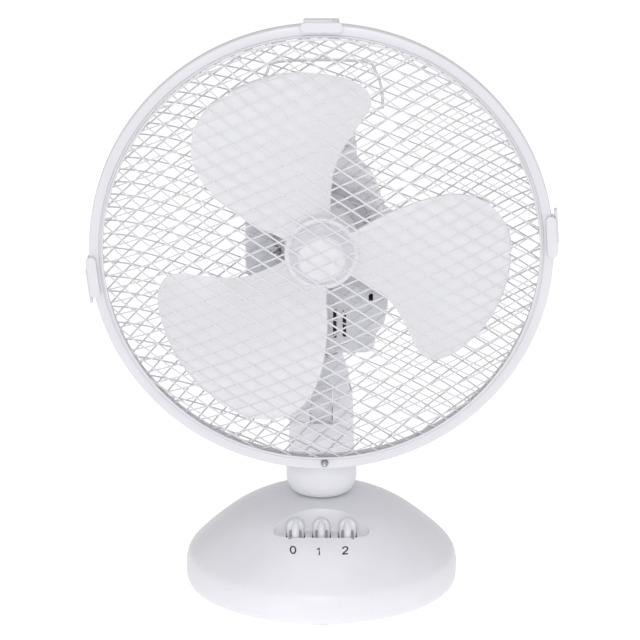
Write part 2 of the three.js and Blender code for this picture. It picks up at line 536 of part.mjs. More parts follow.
// ---- guards ------------------------------------------------------------------------------------------
// A panel of diamond cells, each a frame whose outer edges it shares with its neighbours, pressed along Y.
function meshPanel(pressed) {
  const slope = Math.atan2(CELL_H, CELL_W);
  const innerW = CELL_W / 2 - BAR / 2 / Math.sin(slope);
  const innerH = CELL_H / 2 - BAR / 2 / Math.cos(slope);
  const diamond = (w, h, Kind) => new Kind(points([[w, 0], [0, h], [-w, 0], [0, -h]]));
  const columns = Math.ceil(MESH_R / (CELL_W / 2)) + 1;
  const rows = Math.ceil(MESH_R / (CELL_H / 2)) + 1;
  const cells = [];
  for (let i = -columns; i <= columns; i += 1) {
    for (let j = -rows; j <= rows; j += 1) {
      const [x, z] = [i * CELL_W / 2, j * CELL_H / 2];
      if ((i + j) % 2 !== 0 || Math.hypot(x, z) > MESH_R + CELL_W / 2 - 2) continue;
      const frame = diamond(CELL_W / 2, CELL_H / 2, THREE.Shape);
      frame.holes.push(diamond(innerW, innerH, THREE.Path));
      const g = new THREE.ExtrudeGeometry(frame, { depth: MESH_T, bevelEnabled: false })
        .rotateX(Math.PI / 2)
        .translate(x, 0, z);
      const p = g.getAttribute('position');
      for (let n = 0; n < p.count; n += 1) {
        const [px, pz] = [Math.round(p.getX(n) * 1e3) / 1e3, Math.round(p.getZ(n) * 1e3) / 1e3];
        const front = p.getY(n) < -MESH_T / 2 ? -MESH_T : 0;
        p.setXYZ(n, px, pressed(Math.hypot(px, pz)) + front, pz);
      }
      cells.push(solid(g));
    }
  }
  const disc = rod('y', [0, 0], -120, 20, MESH_R - 0.4, RING_SIDES);
  return wasm.Manifold.union(cells).intersect(disc).translate([0, 0, HEAD_Z]);
}

const FRONT_DEPTH = 27.5;
const REAR_DEPTH = 31;
const pressedFront = (r) => RING_FRONT + 1.8 - FRONT_DEPTH * (1 - Math.min(1, r / MESH_R) ** 3.5);
const pressedRear = (r) => RING_BACK - 1.2 + REAR_DEPTH * (1 - Math.min(1, r / MESH_R) ** 6);

const GUARD_SCREW = [2, HEAD_Z - 139.4];
const guardScrewHole = rod('y', GUARD_SCREW, -70, -40, 1.4, 12);
const frontRim = turnedOnShaft([
  [MESH_R - 1, -62.5], [MESH_R, -62.5], [MESH_R, -56.3], [RIM_R, -56.3], [RIM_R, -54.9], [MESH_R - 1, -54.9],
  [MESH_R - 1, -62.5],
], RING_SIDES);
place('front_guard', cut(meshPanel(pressedFront).add(frontRim), guardScrewHole), GUARD);

const rearRim = turnedOnShaft([
  [MESH_R - 1, -54.6], [RIM_R, -54.6], [RIM_R, -51.8], [MESH_R, -51.8], [MESH_R, -43], [MESH_R - 1, -43],
  [MESH_R - 1, -54.6],
], RING_SIDES);
const rearCentre = turnedOnShaft(ringSection(14.8, 27, -22, -19.5), 24);
const rearMesh = cut(meshPanel(pressedRear), rod('y', [0, HEAD_Z], -60, 20, 26, 24));
place('rear_guard', cut(join(rearMesh, rearRim, rearCentre), guardScrewHole), GUARD);
const nutBlank = rod('y', [0, HEAD_Z], -26.5, -22 - GAP, 21, 12);
place('guard_nut', cut(nutBlank, rod('y', [0, HEAD_Z], -30, -20, 14.8, 32)), WHITE);

const CLIP_ANGLES = [3.6, 90, 187];
const clampProfile = [
  [137.2, RING_FRONT], [RING_R - 1.4, RING_FRONT], [RING_R, RING_FRONT + 1.4], [RING_R, RING_BACK - 1],
  [RING_R - 1, RING_BACK], [137.2, RING_BACK], [137.2, RING_BACK - 1.4], [141.6, RING_BACK - 1.4],
  [141.6, RING_FRONT + 1.4], [137.2, RING_FRONT + 1.4], [137.2, RING_FRONT],
];
// Boxes written as (radius, y, along the ring) are turned to a clip's place.
function onRing(deg, ...pairs) {
  return pairs.map(([low, high]) => box(low, high).rotate([0, -deg, 0]).translate([0, 0, HEAD_Z]));
}
const LUG = [[141.8, RING_BACK + 0.1, -11], [144.8, RING_BACK + 4.6, 11]];
const lugs = CLIP_ANGLES.flatMap((deg) => onRing(deg, LUG, [[141.8, RING_BACK - 0.6, -11], [143, RING_BACK + 0.5, 11]]));
place('guard_clamp_ring', cut(join(turnedOnShaft(clampProfile, RING_SIDES), ...lugs), guardScrewHole), WHITE);

CLIP_ANGLES.forEach((deg, i) => {
  const parts = onRing(
    deg,
    [[137.4, RING_FRONT - 2.2, -12.5], [145.6, RING_FRONT - GAP, 12.5]],
    [[143.9, RING_FRONT - 1, -12.5], [145.6, RING_BACK - 0.3, 12.5]],
    [[144.8, RING_FRONT, -4], [146.6, RING_BACK - 2, 17]],
  );
  place(`guard_clip_${i + 1}`, join(...parts), WHITE);
});

const screwHead = rod('y', GUARD_SCREW, -60.2, RING_FRONT - GAP, 2.4, 16);
place('guard_screw', screwHead.add(rod('y', GUARD_SCREW, -59, -48.5, 1.1, 10)), STEEL);

// ---- carry handle ------------------------------------------------------------------------------------
// A bent wire welded behind the top of the rear guard.
function wire(route, radius, steps) {
  const section = new THREE.Shape();
  section.absarc(0, 0, radius, 0, Math.PI * 2, false);
  const path = new THREE.CatmullRomCurve3(route.map((p) => new THREE.Vector3(...p)), false, 'centripetal');
  return solid(new THREE.ExtrudeGeometry(section, { steps, curveSegments: 3, bevelEnabled: false, extrudePath: path }));
}
const HANDLE = [
  [-38, -19.6, HEAD_Z + 80], [-37.4, -14, HEAD_Z + 90], [-34, -5, HEAD_Z + 99], [-25, 0, HEAD_Z + 105],
  [25, 0, HEAD_Z + 105], [34, -5, HEAD_Z + 99], [37.4, -14, HEAD_Z + 90], [38, -19.6, HEAD_Z + 80],
];
place('carry_handle', wire(HANDLE, 1.2, 24), GUARD);

export default model;
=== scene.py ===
# Visual model of a 9-inch oscillating desk fan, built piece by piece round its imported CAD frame.
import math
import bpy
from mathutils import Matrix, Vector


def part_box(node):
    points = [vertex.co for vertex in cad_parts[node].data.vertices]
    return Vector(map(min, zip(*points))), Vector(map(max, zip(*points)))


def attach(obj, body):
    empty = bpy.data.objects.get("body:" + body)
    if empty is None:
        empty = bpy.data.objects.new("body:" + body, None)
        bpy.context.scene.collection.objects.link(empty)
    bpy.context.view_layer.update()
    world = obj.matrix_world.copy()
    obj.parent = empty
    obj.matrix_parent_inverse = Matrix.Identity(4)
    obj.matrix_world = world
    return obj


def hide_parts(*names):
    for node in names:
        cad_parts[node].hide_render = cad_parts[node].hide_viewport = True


bl_info = {
    "name": "Desk Fan",
    "version": (1, 0, 0),
    "blender": (4, 5, 0),
    "location": "View3D > Sidebar > Desk Fan",
    "description": "Builds the visible pieces of an oscillating desk fan round its CAD frame",
    "category": "Object",
}

import bmesh
import bpy
from bpy.props import FloatProperty, FloatVectorProperty, PointerProperty
from mathutils import Matrix, Vector

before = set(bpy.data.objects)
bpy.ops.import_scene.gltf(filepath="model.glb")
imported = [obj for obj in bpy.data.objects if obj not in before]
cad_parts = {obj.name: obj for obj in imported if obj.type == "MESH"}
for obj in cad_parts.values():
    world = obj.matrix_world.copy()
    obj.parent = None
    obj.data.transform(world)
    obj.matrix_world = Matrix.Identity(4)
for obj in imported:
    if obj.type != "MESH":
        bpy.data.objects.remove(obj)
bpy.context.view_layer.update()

MM = 0.001                     # lengths below are millimetres, and a finished mesh is in metres
SHAFT_LOW, SHAFT_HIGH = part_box("motor_shaft")
HEAD_Z = (SHAFT_LOW.z + SHAFT_HIGH.z) / 2 / MM
BOLT_LOW, BOLT_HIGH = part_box("tilt_bolt")
TILT_Z = (BOLT_LOW.z + BOLT_HIGH.z) / 2 / MM
TILT_CENTRE = (0, 0, TILT_Z)
HEAD_CENTRE = (0, 0, HEAD_Z)
KEY_BOXES = [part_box(f"push_button_{i}") for i in range(3)]
KEY_X = [(low.x + high.x) / 2 / MM for low, high in KEY_BOXES]
KNOB_LOW, KNOB_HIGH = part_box("oscillation_knob")
KNOB_X = (KNOB_LOW.x + KNOB_HIGH.x) / 2 / MM
KNOB_Y = (KNOB_LOW.y + KNOB_HIGH.y) / 2 / MM


# ---- small tools --------------------------------------------------------------------------------
def linear(code):
    """Linear RGBA of an sRGB hex colour."""
    parts = [int(code[i:i + 2], 16) / 255 for i in (1, 3, 5)]
    return (*[c / 12.92 if c <= 0.04045 else ((c + 0.055) / 1.055) ** 2.4 for c in parts], 1.0)


def add_node(tree, kind, settings=None, links=None):
    """A node with its settings and its links; a key is an input's name or number, or a setting."""
    node = tree.nodes.new(kind)
    for key, value in (settings or {}).items():
        if isinstance(key, int) or key in node.inputs:
            node.inputs[key].default_value = value
        else:
            setattr(node, key, value)
    for key, source in (links or {}).items():
        tree.links.new(source, node.inputs[key])
    return node


def curve_through(points, per=6):
    """Points on a smooth curve through the given ones."""
    out = []
    last = len(points) - 1
    for i in range(last):
        a, b, c, d = (Vector(points[min(max(i + k, 0), last)]) for k in (-1, 0, 1, 2))
        for step in range(per):
            t = step / per
            out.append(tuple(0.5 * (2 * b + (c - a) * t + (2 * a - 5 * b + 4 * c - d) * t ** 2
                                    + (3 * b - a - 3 * c + d) * t ** 3)))
    return out + [tuple(points[-1])]


def join(*meshes):
    """One bmesh with the geometry of several."""
    whole = bmesh.new()
    for bm in meshes:
        mesh = bpy.data.meshes.new("part")
        bm.to_mesh(mesh)
        bm.free()
        whole.from_mesh(mesh)
        bpy.data.meshes.remove(mesh)
    return whole


def tidy(bm):
    """Doubles merged and faces turned outwards."""
    bmesh.ops.remove_doubles(bm, verts=bm.verts, dist=1e-4)
    bmesh.ops.recalc_face_normals(bm, faces=bm.faces)
    return bm


def lathe(profile, steps=96, axis="Z", centre=(0, 0, 0)):
    """A profile of (radius, height) turned about an upright axis, or about one along Y."""
    bm = bmesh.new()
    along = Vector((0, 0, 1)) if axis == "Z" else Vector((0, 1, 0))
    verts = [bm.verts.new(Vector(centre) + Vector((r, 0, 0)) + along * h) for r, h in profile]
    edges = [bm.edges.new(pair) for pair in zip(verts, verts[1:])]
    bmesh.ops.spin(bm, geom=verts + edges, cent=centre, axis=along, angle=math.tau, steps=steps,
                   use_merge=True)
    return tidy(bm)


def prism(outline, start, end, axis="Y"):
    """An outline of (x, z) run from one y to another, or of (x, y) from one z to another."""
    bm = bmesh.new()
    where = (lambda a, b, c: (a, c, b)) if axis == "Y" else (lambda a, b, c: (a, b, c))
    face = bm.faces.new([bm.verts.new(where(a, b, start)) for a, b in outline])
    moved = bmesh.ops.extrude_face_region(bm, geom=[face])["geom"]
    offset = Vector(where(0, 0, end - start))
    bmesh.ops.translate(bm, verts=[v for v in moved if isinstance(v, bmesh.types.BMVert)], vec=offset)
    return tidy(bm)


def block(low, high, soft=0.0, segments=3):
    """A box between two corners, with rounded edges."""
    bm = bmesh.new()
    bmesh.ops.create_cube(bm, size=1.0)
    size = [b - a for a, b in zip(low, high)]
    bmesh.ops.scale(bm, verts=bm.verts, vec=size)
    bmesh.ops.translate(bm, verts=bm.verts, vec=[(a + b) / 2 for a, b in zip(low, high)])
    if soft:
        bmesh.ops.bevel(bm, geom=bm.edges[:], offset=soft, segments=segments, profile=0.5, affect="EDGES",
                        material=-1)
    return bm


def rod(start, end, radius, sides=32):
    """A cylinder between two points."""
    bm = bmesh.new()
    a, b = Vector(start), Vector(end)
    turn = (b - a).to_track_quat("Z", "Y").to_matrix().to_4x4()
    place = Matrix.Translation((a + b) / 2) @ turn
    bmesh.ops.create_cone(bm, cap_ends=True, segments=sides, radius1=radius, radius2=radius,
                          depth=(b - a).length, matrix=place)
    return bm


def ball(radius, centre):
    """A sphere about a point."""
    bm = bmesh.new()
    bmesh.ops.create_uvsphere(bm, u_segments=64, v_segments=32, radius=radius,
                              matrix=Matrix.Translation(centre))
    return bm


def wires(routes, radius, cyclic=False, resolution=1):
    """Round wires along routes of points."""
    curve = bpy.data.curves.new("wires", "CURVE")
    curve.dimensions = "3D"
    curve.bevel_depth = radius
    curve.bevel_resolution = resolution
    curve.use_fill_caps = not cyclic
    for route in routes:
        spline = curve.splines.new("POLY")
        spline.points.add(len(route) - 1)
        for point, place in zip(spline.points, route):
            point.co = (*place, 1)
        spline.use_cyclic_u = cyclic
    return evaluated(bpy.data.objects.new("wires", curve))


def evaluated(item):
    """The finished mesh of an object as a bmesh; the object is removed."""
    bpy.context.scene.collection.objects.link(item)
    graph = bpy.context.evaluated_depsgraph_get()
    mesh = bpy.data.meshes.new_from_object(item.evaluated_get(graph), depsgraph=graph)
    bm = bmesh.new()
    bm.from_mesh(mesh)
    data = item.data
    bpy.data.objects.remove(item)
    (bpy.data.curves if isinstance(data, bpy.types.Curve) else bpy.data.meshes).remove(data)
    bpy.data.meshes.remove(mesh)
    return bm


def combine(target, operation, *tools):
    """The target joined to, cut by or kept within the tools, one after another."""
    for tool in tools:
        items = []
        for label, bm in (("target", target), ("tool", tool)):
            mesh = bpy.data.meshes.new(label)
            bm.to_mesh(mesh)
            bm.free()
            items.append(bpy.data.objects.new(label, mesh))
        bpy.context.scene.collection.objects.link(items[1])
        modifier = items[0].modifiers.new("combine", "BOOLEAN")
        modifier.operation = operation
        modifier.solver = "EXACT"
        modifier.object = items[1]
        target = evaluated(items[0])
        spare = items[1].data
        bpy.data.objects.remove(items[1])
        bpy.data.meshes.remove(spare)
    return target


def about_shaft(bm, degrees):
    """Turned about the motor shaft, anticlockwise as seen from the front."""
    turn = Matrix.Rotation(-math.radians(degrees), 3, "Y")
    bmesh.ops.rotate(bm, verts=bm.verts, cent=HEAD_CENTRE, matrix=turn)
    return bm


def soften(bm, fold, width):
    """Rounded edges where faces meet at more than a fold angle in radians."""
    edges = [e for e in bm.edges if e.calc_face_angle(0) > fold]
    bmesh.ops.bevel(bm, geom=edges, offset=width, segments=3, profile=0.5, affect="EDGES", material=-1)


def piece(name, bm, finish, body, stands_for=(), bevel=0.0, sharp=35):
    """A finished object: in metres, shaded, with a material, on its CAD body and standing for its nodes."""
    bmesh.ops.scale(bm, verts=bm.verts, vec=(MM, MM, MM))
    mesh = bpy.data.meshes.new(name)
    bm.to_mesh(mesh)
    bm.free()
    mesh.polygons.foreach_set("use_smooth", [True] * len(mesh.polygons))
    mesh.set_sharp_from_angle(angle=math.radians(sharp))
    mesh.materials.append(MATERIALS[finish])
    item = bpy.data.objects.new(name, mesh)
    bpy.context.scene.collection.objects.link(item)
    if bevel:
        soft = item.modifiers.new("edges", "BEVEL")
        soft.width = bevel * MM
        soft.segments = 2
        soft.limit_method = "ANGLE"
        soft.angle_limit = math.radians(sharp)
        soft.harden_normals = False
    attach(item, body)
    if stands_for:
        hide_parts(*stands_for)
    return item


# ---- materials ----------------------------------------------------------------------------------
MATERIALS = {}


def start_material(name, colour, roughness, metallic=0.0, ior=1.5):
    """A material with plain values, kept under its name; gives its nodes and its shader."""
    material = bpy.data.materials.new(name)
    material.use_nodes = True
    tree = material.node_tree
    shader = tree.nodes["Principled BSDF"]
    shader.inputs["Base Color"].default_value = colour
    shader.inputs["Roughness"].default_value = roughness
    shader.inputs["Metallic"].default_value = metallic
    shader.inputs["IOR"].default_value = ior
    MATERIALS[name] = material
    return tree, shader


def surface(name, colour, darker, roughness, spread, grain_mm, depth_mm, metallic=0.0, ior=1.5, cloud_mm=35):
    """A base colour with slow variation, uneven gloss and a fine grain of a real size."""
    tree, shader = start_material(name, colour, roughness, metallic, ior)
    coords = add_node(tree, "ShaderNodeTexCoord")
    place = coords.outputs["Object"]
    cloud = add_node(tree, "ShaderNodeTexNoise", {"Scale": 1 / (cloud_mm * MM), "Detail": 3.0},
                     {"Vector": place})
    tone = add_node(tree, "ShaderNodeMix", {"data_type": "RGBA", 6: colour, 7: darker},
                    {0: cloud.outputs["Fac"]})
    gloss = add_node(tree, "ShaderNodeMapRange", {"To Min": roughness - spread, "To Max": roughness + spread},
                     {"Value": cloud.outputs["Fac"]})
    grain = add_node(tree, "ShaderNodeTexNoise", {"Scale": 1 / (grain_mm * MM), "Detail": 2.0},
                     {"Vector": place})
    bump = add_node(tree, "ShaderNodeBump", {"Strength": 0.5, "Distance": depth_mm * MM},
                    {"Height": grain.outputs["Fac"]})
    tree.links.new(tone.outputs[2], shader.inputs["Base Color"])
    tree.links.new(gloss.outputs["Result"], shader.inputs["Roughness"])
    tree.links.new(bump.outputs["Normal"], shader.inputs["Normal"])
    return tree, shader


def make_materials():
    """Every finish of the fan, named for the real material and how its surface was made, and for painted
    shade where its colour holds some.
    """
    colours = bpy.context.scene.desk_fan_colours
    body = (*colours.body, 1.0)
    rotor = (*colours.rotor, 1.0)
    wire = (*colours.wire, 1.0)
    # ABS from a spark-eroded mould: satin white, a fine matt grain of about 0.5 mm.
    surface("abs_moulded_satin_white", body, linear("#dcdce2"), 0.38, 0.04, 0.5, 0.02, ior=1.53)
    # The same ABS for the clamp ring and its clips, from a smoother mould; its white is greyed by painted
    # shade.
    surface("abs_moulded_satin_white_painted_shade", linear("#dcdce1"), linear("#d2d2d8"), 0.36, 0.04, 0.5, 0.015,
            ior=1.53)
    # Polypropylene from a polished mould: smoother and a little glossier than the body.
    surface("polypropylene_moulded_white", rotor, linear("#e1e1e5"), 0.32, 0.03, 0.9, 0.012, ior=1.49)
    # Powder-coated steel wire: slight orange peel of about 0.8 mm under a gloss coat.
    surface("powder_coated_steel_wire", wire, linear("#d3d3d8"), 0.36, 0.05, 0.8, 0.02, ior=1.5)
    # Zinc-plated steel: grey metal with a fine cloudy passivation.
    surface("zinc_plated_steel", linear("#a9abae"), linear("#8f9194"), 0.34, 0.08, 0.3, 0.01, metallic=1.0,
            cloud_mm=6)
    # Moulded rubber: matt black with a fine dusty bloom.
    surface("rubber_moulded_black", linear("#2b2b2d"), linear("#3a3a3c"), 0.8, 0.06, 0.4, 0.03, cloud_mm=8)
    # Sand-cast iron: dark, rough, pitted at about 1 mm.
    surface("cast_iron_sand_cast", linear("#55565a"), linear("#3c3d40"), 0.7, 0.1, 1.0, 0.15, metallic=0.6,
            cloud_mm=12)
    # Natural nylon from a mould: creamy, waxy and half matt.
    surface("nylon_moulded_natural", linear("#e9e5d8"), linear("#dcd6c4"), 0.45, 0.05, 0.6, 0.02, ior=1.53,
            cloud_mm=10)
    # ABS coloured dark grey, for the switch and the cord gland: half matt, with a fine mould grain.
    surface("abs_moulded_dark_grey", linear("#39393c"), linear("#2c2c2f"), 0.5, 0.06, 0.5, 0.02, ior=1.53,
            cloud_mm=12)
    # Pad-printed ink: thin and flat, nearly black.
    surface("pad_printed_ink_dark_grey", linear("#2e2e32"), linear("#3b3b40"), 0.55, 0.05, 0.3, 0.004,
            cloud_mm=3)
    # Stacked sheets of electrical steel: half-millimetre layers, drawn 1 mm apart so that they show.
    banded_material("laminated_electrical_steel", "Y", 1.0, linear("#6f7276"), linear("#4a4c50"), 0.5, 0.9)
    # Enamelled copper wire wound in layers: brown, glossy turns 0.8 mm apart.
    banded_material("copper_wire_wound_enamelled", "Y", 0.8, linear("#b4613a"), linear("#7d3c22"), 0.3, 0.9)


def banded_material(name, axis, pitch_mm, light, dark, roughness, metallic):
    """A metal in layers or turns that lie side by side at a pitch along one axis."""
    tree, shader = start_material(name, light, roughness, metallic)
    coords = add_node(tree, "ShaderNodeTexCoord")
    bands = add_node(tree, "ShaderNodeTexWave", {"bands_direction": axis, "Scale": 0.314 / (pitch_mm * MM),
                                                 "Distortion": 0.4}, {"Vector": coords.outputs["Object"]})
    tone = add_node(tree, "ShaderNodeMix", {"data_type": "RGBA", 6: dark, 7: light},
                    {0: bands.outputs["Fac"]})
    bump = add_node(tree, "ShaderNodeBump", {"Strength": 0.8, "Distance": 0.2 * MM},
                    {"Height": bands.outputs["Fac"]})
    tree.links.new(tone.outputs[2], shader.inputs["Base Color"])
    tree.links.new(bump.outputs["Normal"], shader.inputs["Normal"])


# The CAD pieces that stay as they are, mostly inside the fan, under the finish that each one gets.
CAD_FINISHES = {
    "abs_moulded_satin_white": ["base_plate"],
    "zinc_plated_steel": [
        "base_screw_1", "base_screw_2", "base_screw_3", "base_screw_4", "column_nut", "tilt_nut",
        "pivot_shaft",
        "pivot_plate", "oscillator_link", "clutch_shaft", "front_bearing", "rear_bearing", "gearbox_bracket",
        "motor_shaft", "tilt_bolt"],
    "cast_iron_sand_cast": ["ballast_weight"],
    "laminated_electrical_steel": ["stator_core", "rotor_core"],
    "copper_wire_wound_enamelled": ["stator_winding_front", "stator_winding_rear"],
    "abs_moulded_dark_grey": ["switch_block"],
    "nylon_moulded_natural": ["pivot_washer", "crank_gear", "worm_wheel"],
}


# ---- base ---------------------------------------------------------------------------------------
# Profiles of the base as (radius, height): the skirt's foot, the dome, and the cavity under it.
SKIRT = [(84.3, 2.6), (85.3, 3.4), (86.2, 5.2), (86.5, 8)]
DOME = [
    (86.5, 16), (84.6, 22), (79, 28.5), (68.3, 38.2), (57, 47), (45, 53.6), (32, 58.7), (24, 60.6),
    (19, 61.3), (16.4, 61.5),
]
BORE_R = 14.3
DOME_INSIDE = [(BORE_R, 59.2), (30, 56.4), (43.5, 51.2), (66.4, 36.2), (82.2, 20.6), (84.1, 15.6)]
RECESS_FLOOR = 46.5
RECESS_WALL = 2.2
KEY_Y = -44.5
# The recess as (half width, half depth, Y of the middle), at its floor and higher up at its mouth.
RECESS_BOTTOM = (30, 9.6, KEY_Y)
RECESS_MOUTH = (32.2, 13, KEY_Y + 5.5)
# Slots in the recess's floor as (half width, front, back): one for a key's finger, one for its hood.
KEY_SLOTS = ((4.4, -52.4, -44), (6.0, -47.5, -38))
HOOD_R = 5.4
HOOD_TOP = RECESS_FLOOR + 10.6
NUMBER_CIRCLE = 62.4
NUMBER_SHIFT = -1.5
DOME_SLOPE = 0.79              # the share of a step down the dome that leads outwards, at the numbers
SCREW_CIRCLE = 68
GLAND_Z = 11.8


def dome_outside():
    """The base's outside from the skirt's foot to the neck."""
    return SKIRT + curve_through(DOME, 8)


def dome_at(radius):
    """Height of the dome's outside at a radius."""
    profile = dome_outside()[len(SKIRT):]
    for (r0, z0), (r1, z1) in zip(profile, profile[1:]):
        if r1 <= radius <= r0:
            return z0 + (z1 - z0) * (r0 - radius) / (r0 - r1)
    raise ValueError("radius is off the dome")


def recess_cone(wall, low, high):
    """The keys' recess as an oval cone that leans back, or the tub that is larger by its wall."""
    bm = bmesh.new()
    bmesh.ops.create_cone(bm, cap_ends=True, segments=72, radius1=1.0, radius2=1.0, depth=2.0)
    for v in bm.verts:
        (half_width, half_depth, y), z = (RECESS_MOUTH, high) if v.co.z > 0 else (RECESS_BOTTOM, low)
        v.co = (v.co.x * (half_width + wall), y + v.co.y * (half_depth + wall), z)
    return bm


def make_base():
    """The domed shell with the keys' recess, its four feet and the gland of the cord inlet."""
    shell = lathe([(0, SKIRT[0][1])] + dome_outside() + [(0, DOME[-1][1])], 128)
    hollow = lathe([(0, 70), (BORE_R, 70)] + DOME_INSIDE + [(DOME_INSIDE[-1][0], 0), (0, 0)], 128)
    hollow = combine(hollow, "DIFFERENCE", recess_cone(RECESS_WALL, RECESS_FLOOR - RECESS_WALL, 75))
    shell = combine(shell, "DIFFERENCE", hollow)
    recess = recess_cone(0, RECESS_FLOOR, 68)
    slots = []
    for x in KEY_X:
        for half_width, front, back in KEY_SLOTS:
            slots.append(block((x - half_width, front, 38), (x + half_width, back, 48)))
    inlet = rod((0, 78, GLAND_Z), (0, 90, GLAND_Z), 5.3)
    shell = combine(shell, "DIFFERENCE", recess, *slots, inlet)
    piece("dome_shell", shell, "abs_moulded_satin_white", "base", ["base_shell"], bevel=0.5)
    for i in range(4):
        angle = math.radians(90 + 90 * i)
        centre = (SCREW_CIRCLE * math.cos(angle), SCREW_CIRCLE * math.sin(angle), 0)
        foot = lathe([(0, 0), (6.6, 0), (7.4, 0.3), (8, 2.3), (0, 2.3)], 40, centre=centre)
        piece(f"foot_pad_{i + 1}", foot, "rubber_moulded_black", "base", [f"rubber_foot_{i + 1}"])
    gland = [(3.4, 79.2), (6.2, 79.2), (6.2, 82.4), (5, 82.4), (5, 86.8), (6.4, 86.9), (6.6, 87.3),
             (6.0, 88.2), (5.6, 88.4), (3.4, 88.4), (3.4, 79.2)]
    piece("inlet_gland", lathe(gland, 40, "Y", (0, 0, GLAND_Z)), "abs_moulded_dark_grey", "base",
          ["cord_gland"])


def number_strokes(number):
    """Centre lines of a printed number, in a frame of its own: across and up from its middle."""
    if number == 0:
        return [[(1.6 * math.cos(a), 2.5 * math.sin(a)) for a in (math.tau * k / 32 for k in range(33))]]
    if number == 1:
        return [[(-1.3, 1.35), (-0.4, 1.75), (0.15, 2.55), (0.15, -2.6)]]
    top = [(-1.55 * math.cos(a), 1.15 + 1.4 * math.sin(a)) for a in (math.pi * k / 16 for k in range(17))]
    sweep = curve_through(top + [(1.35, 0.35), (0.3, -0.75), (-0.9, -1.7), (-1.6, -2.55)], 2)
    return [sweep, [(-1.75, -2.55), (1.75, -2.55)]]


def make_numbers():
    """Printed 0, 1 and 2 that follow the dome."""
    scale = bpy.context.scene.desk_fan_sizes.number_height / MM / 6
    whole = []
    for i, x in enumerate(KEY_X):
        routes = [[(a * scale, b * scale, 0) for a, b in stroke] for stroke in number_strokes(i)]
        bm = wires(routes, 0.5 * scale, resolution=2)
        for v in bm.verts:
            across, radius = x + NUMBER_SHIFT + v.co.x, NUMBER_CIRCLE - v.co.y * DOME_SLOPE
            v.co = (across, -math.sqrt(radius ** 2 - across ** 2), dome_at(radius) + 0.02 + v.co.z * 0.12)
        whole.append(bm)
    piece("button_numbers", join(*whole), "pad_printed_ink_dark_grey", "base")


def make_buttons():
    """Three keys, each a round-topped hood with two slits behind a rounded finger."""
    hood = [(-HOOD_R, 40), (HOOD_R, 40), (HOOD_R, HOOD_TOP - HOOD_R)]
    hood += [(HOOD_R * math.cos(a), HOOD_TOP - HOOD_R + HOOD_R * math.sin(a)) for a in
             (math.pi * k / 16 for k in range(1, 16))]
    hood += [(-HOOD_R, HOOD_TOP - HOOD_R)]
    for i, x in enumerate(KEY_X):
        back = prism([(x + a, b) for a, b in hood], -44.8, -39.2)
        for v in back.verts:
            v.co.y += (v.co.z - RECESS_FLOOR) * 0.18
        soften(back, 0.6, 1.2)
        slits = [block((x + off - 0.7, -50, 36), (x + off + 0.7, -41.4, RECESS_FLOOR + 3.8))
                 for off in (-3.2, 3.2)]
        back = combine(back, "DIFFERENCE", *slits)
        finger = wires([[(x, -48.9, 38), (x, -48.9, 46), (x, -48.4, 49.5), (x, -46.6, 52.6), (x, -43.6, 54.4),
                         (x, -41.8, 54.6)]], 2.25, resolution=6)
        piece(f"key_{i}", join(back, finger), "abs_moulded_satin_white", f"button_{i}",
              [f"push_button_{i}"], sharp=50)


# ---- neck ---------------------------------------------------------------------------------------
TONGUE_W = 6.7                 # half the width of the column's tongue, and its rounded top
TONGUE_R = 9.6
SOCKET_R = 29
FORK_GAP = 0.35                # on each side of the tongue


def make_neck():
    """The column with its collar and tongue, and the fork that tilts on it."""
    outside = [(0, 50), (14, 50), (14, 61.8), (16.0, 61.8), (17.8, 62.6), (19.6, 64.2), (21.1, 66.4),
               (22.0, 69.0), (22.4, 72), (22.4, 77.4), (22.2, 79.4), (21.7, 81.2), (21.3, 83.2), (21, 90),
               (20.3, 113.3), (0, 113.3)]
    post = combine(lathe(outside, 96), "DIFFERENCE", ball(SOCKET_R + 0.3, TILT_CENTRE))
    side = [(-16.5, 98), (16.5, 98), (16.5, TILT_Z - 12)]
    side += [(TONGUE_R * math.cos(a), TILT_Z + TONGUE_R * math.sin(a)) for a in
             (math.pi * k / 20 for k in range(0, 21))]
    side += [(-16.5, TILT_Z - 12)]
    tongue = prism([(a, b) for a, b in side], -TONGUE_W, TONGUE_W)
    bmesh.ops.rotate(tongue, verts=tongue.verts, matrix=Matrix.Rotation(math.pi / 2, 3, "Z"))
    tongue = combine(tongue, "INTERSECT", rod((0, 0, 90), (0, 0, 150), 18.6, 96))
    column = combine(combine(post, "UNION", tongue), "DIFFERENCE", rod((0, 0, 40), (0, 0, 94), 9, 48),
                     rod((-20, 0, TILT_Z), (20, 0, TILT_Z), 3.5))
    piece("neck_post", column, "abs_moulded_satin_white", "base", ["neck_column"], bevel=0.5)

    outside = [(0, 104), (20.3, 104), (20.3, 112.4)] + curve_through(
        [(20.3, 112.4), (19.9, 125), (19.2, 131), (17.6, 140), (14.6, 150), (13, 156)], 5)[1:] + [(0, 156)]
    seat = combine(ball(SOCKET_R, TILT_CENTRE), "UNION", rod((0, 0, 114), (0, 0, 160), 28, 96))
    yoke = combine(lathe(outside, 96), "INTERSECT", seat)
    wide = TONGUE_W + FORK_GAP
    yoke = combine(
        yoke, "DIFFERENCE",
        block((-wide, -30, 90), (wide, 30, TILT_Z)),
        rod((-wide, 0, TILT_Z), (wide, 0, TILT_Z), TONGUE_R + 0.8, 48),
        rod((0, -30, TILT_Z + 1), (0, 30, TILT_Z + 1), wide, 48),
        rod((-30, 0, TILT_Z), (30, 0, TILT_Z), 3.4),
        rod((14, 0, TILT_Z), (30, 0, TILT_Z), 6.3),
        rod((-30, 0, TILT_Z), (-15, 0, TILT_Z), 6.3, 6),
        rod((0, 0, TILT_Z + TONGUE_R + 2.5), (0, 0, 170), 5.3))
    piece("tilt_fork", yoke, "abs_moulded_satin_white", "yoke", ["tilt_yoke"], bevel=0.5)


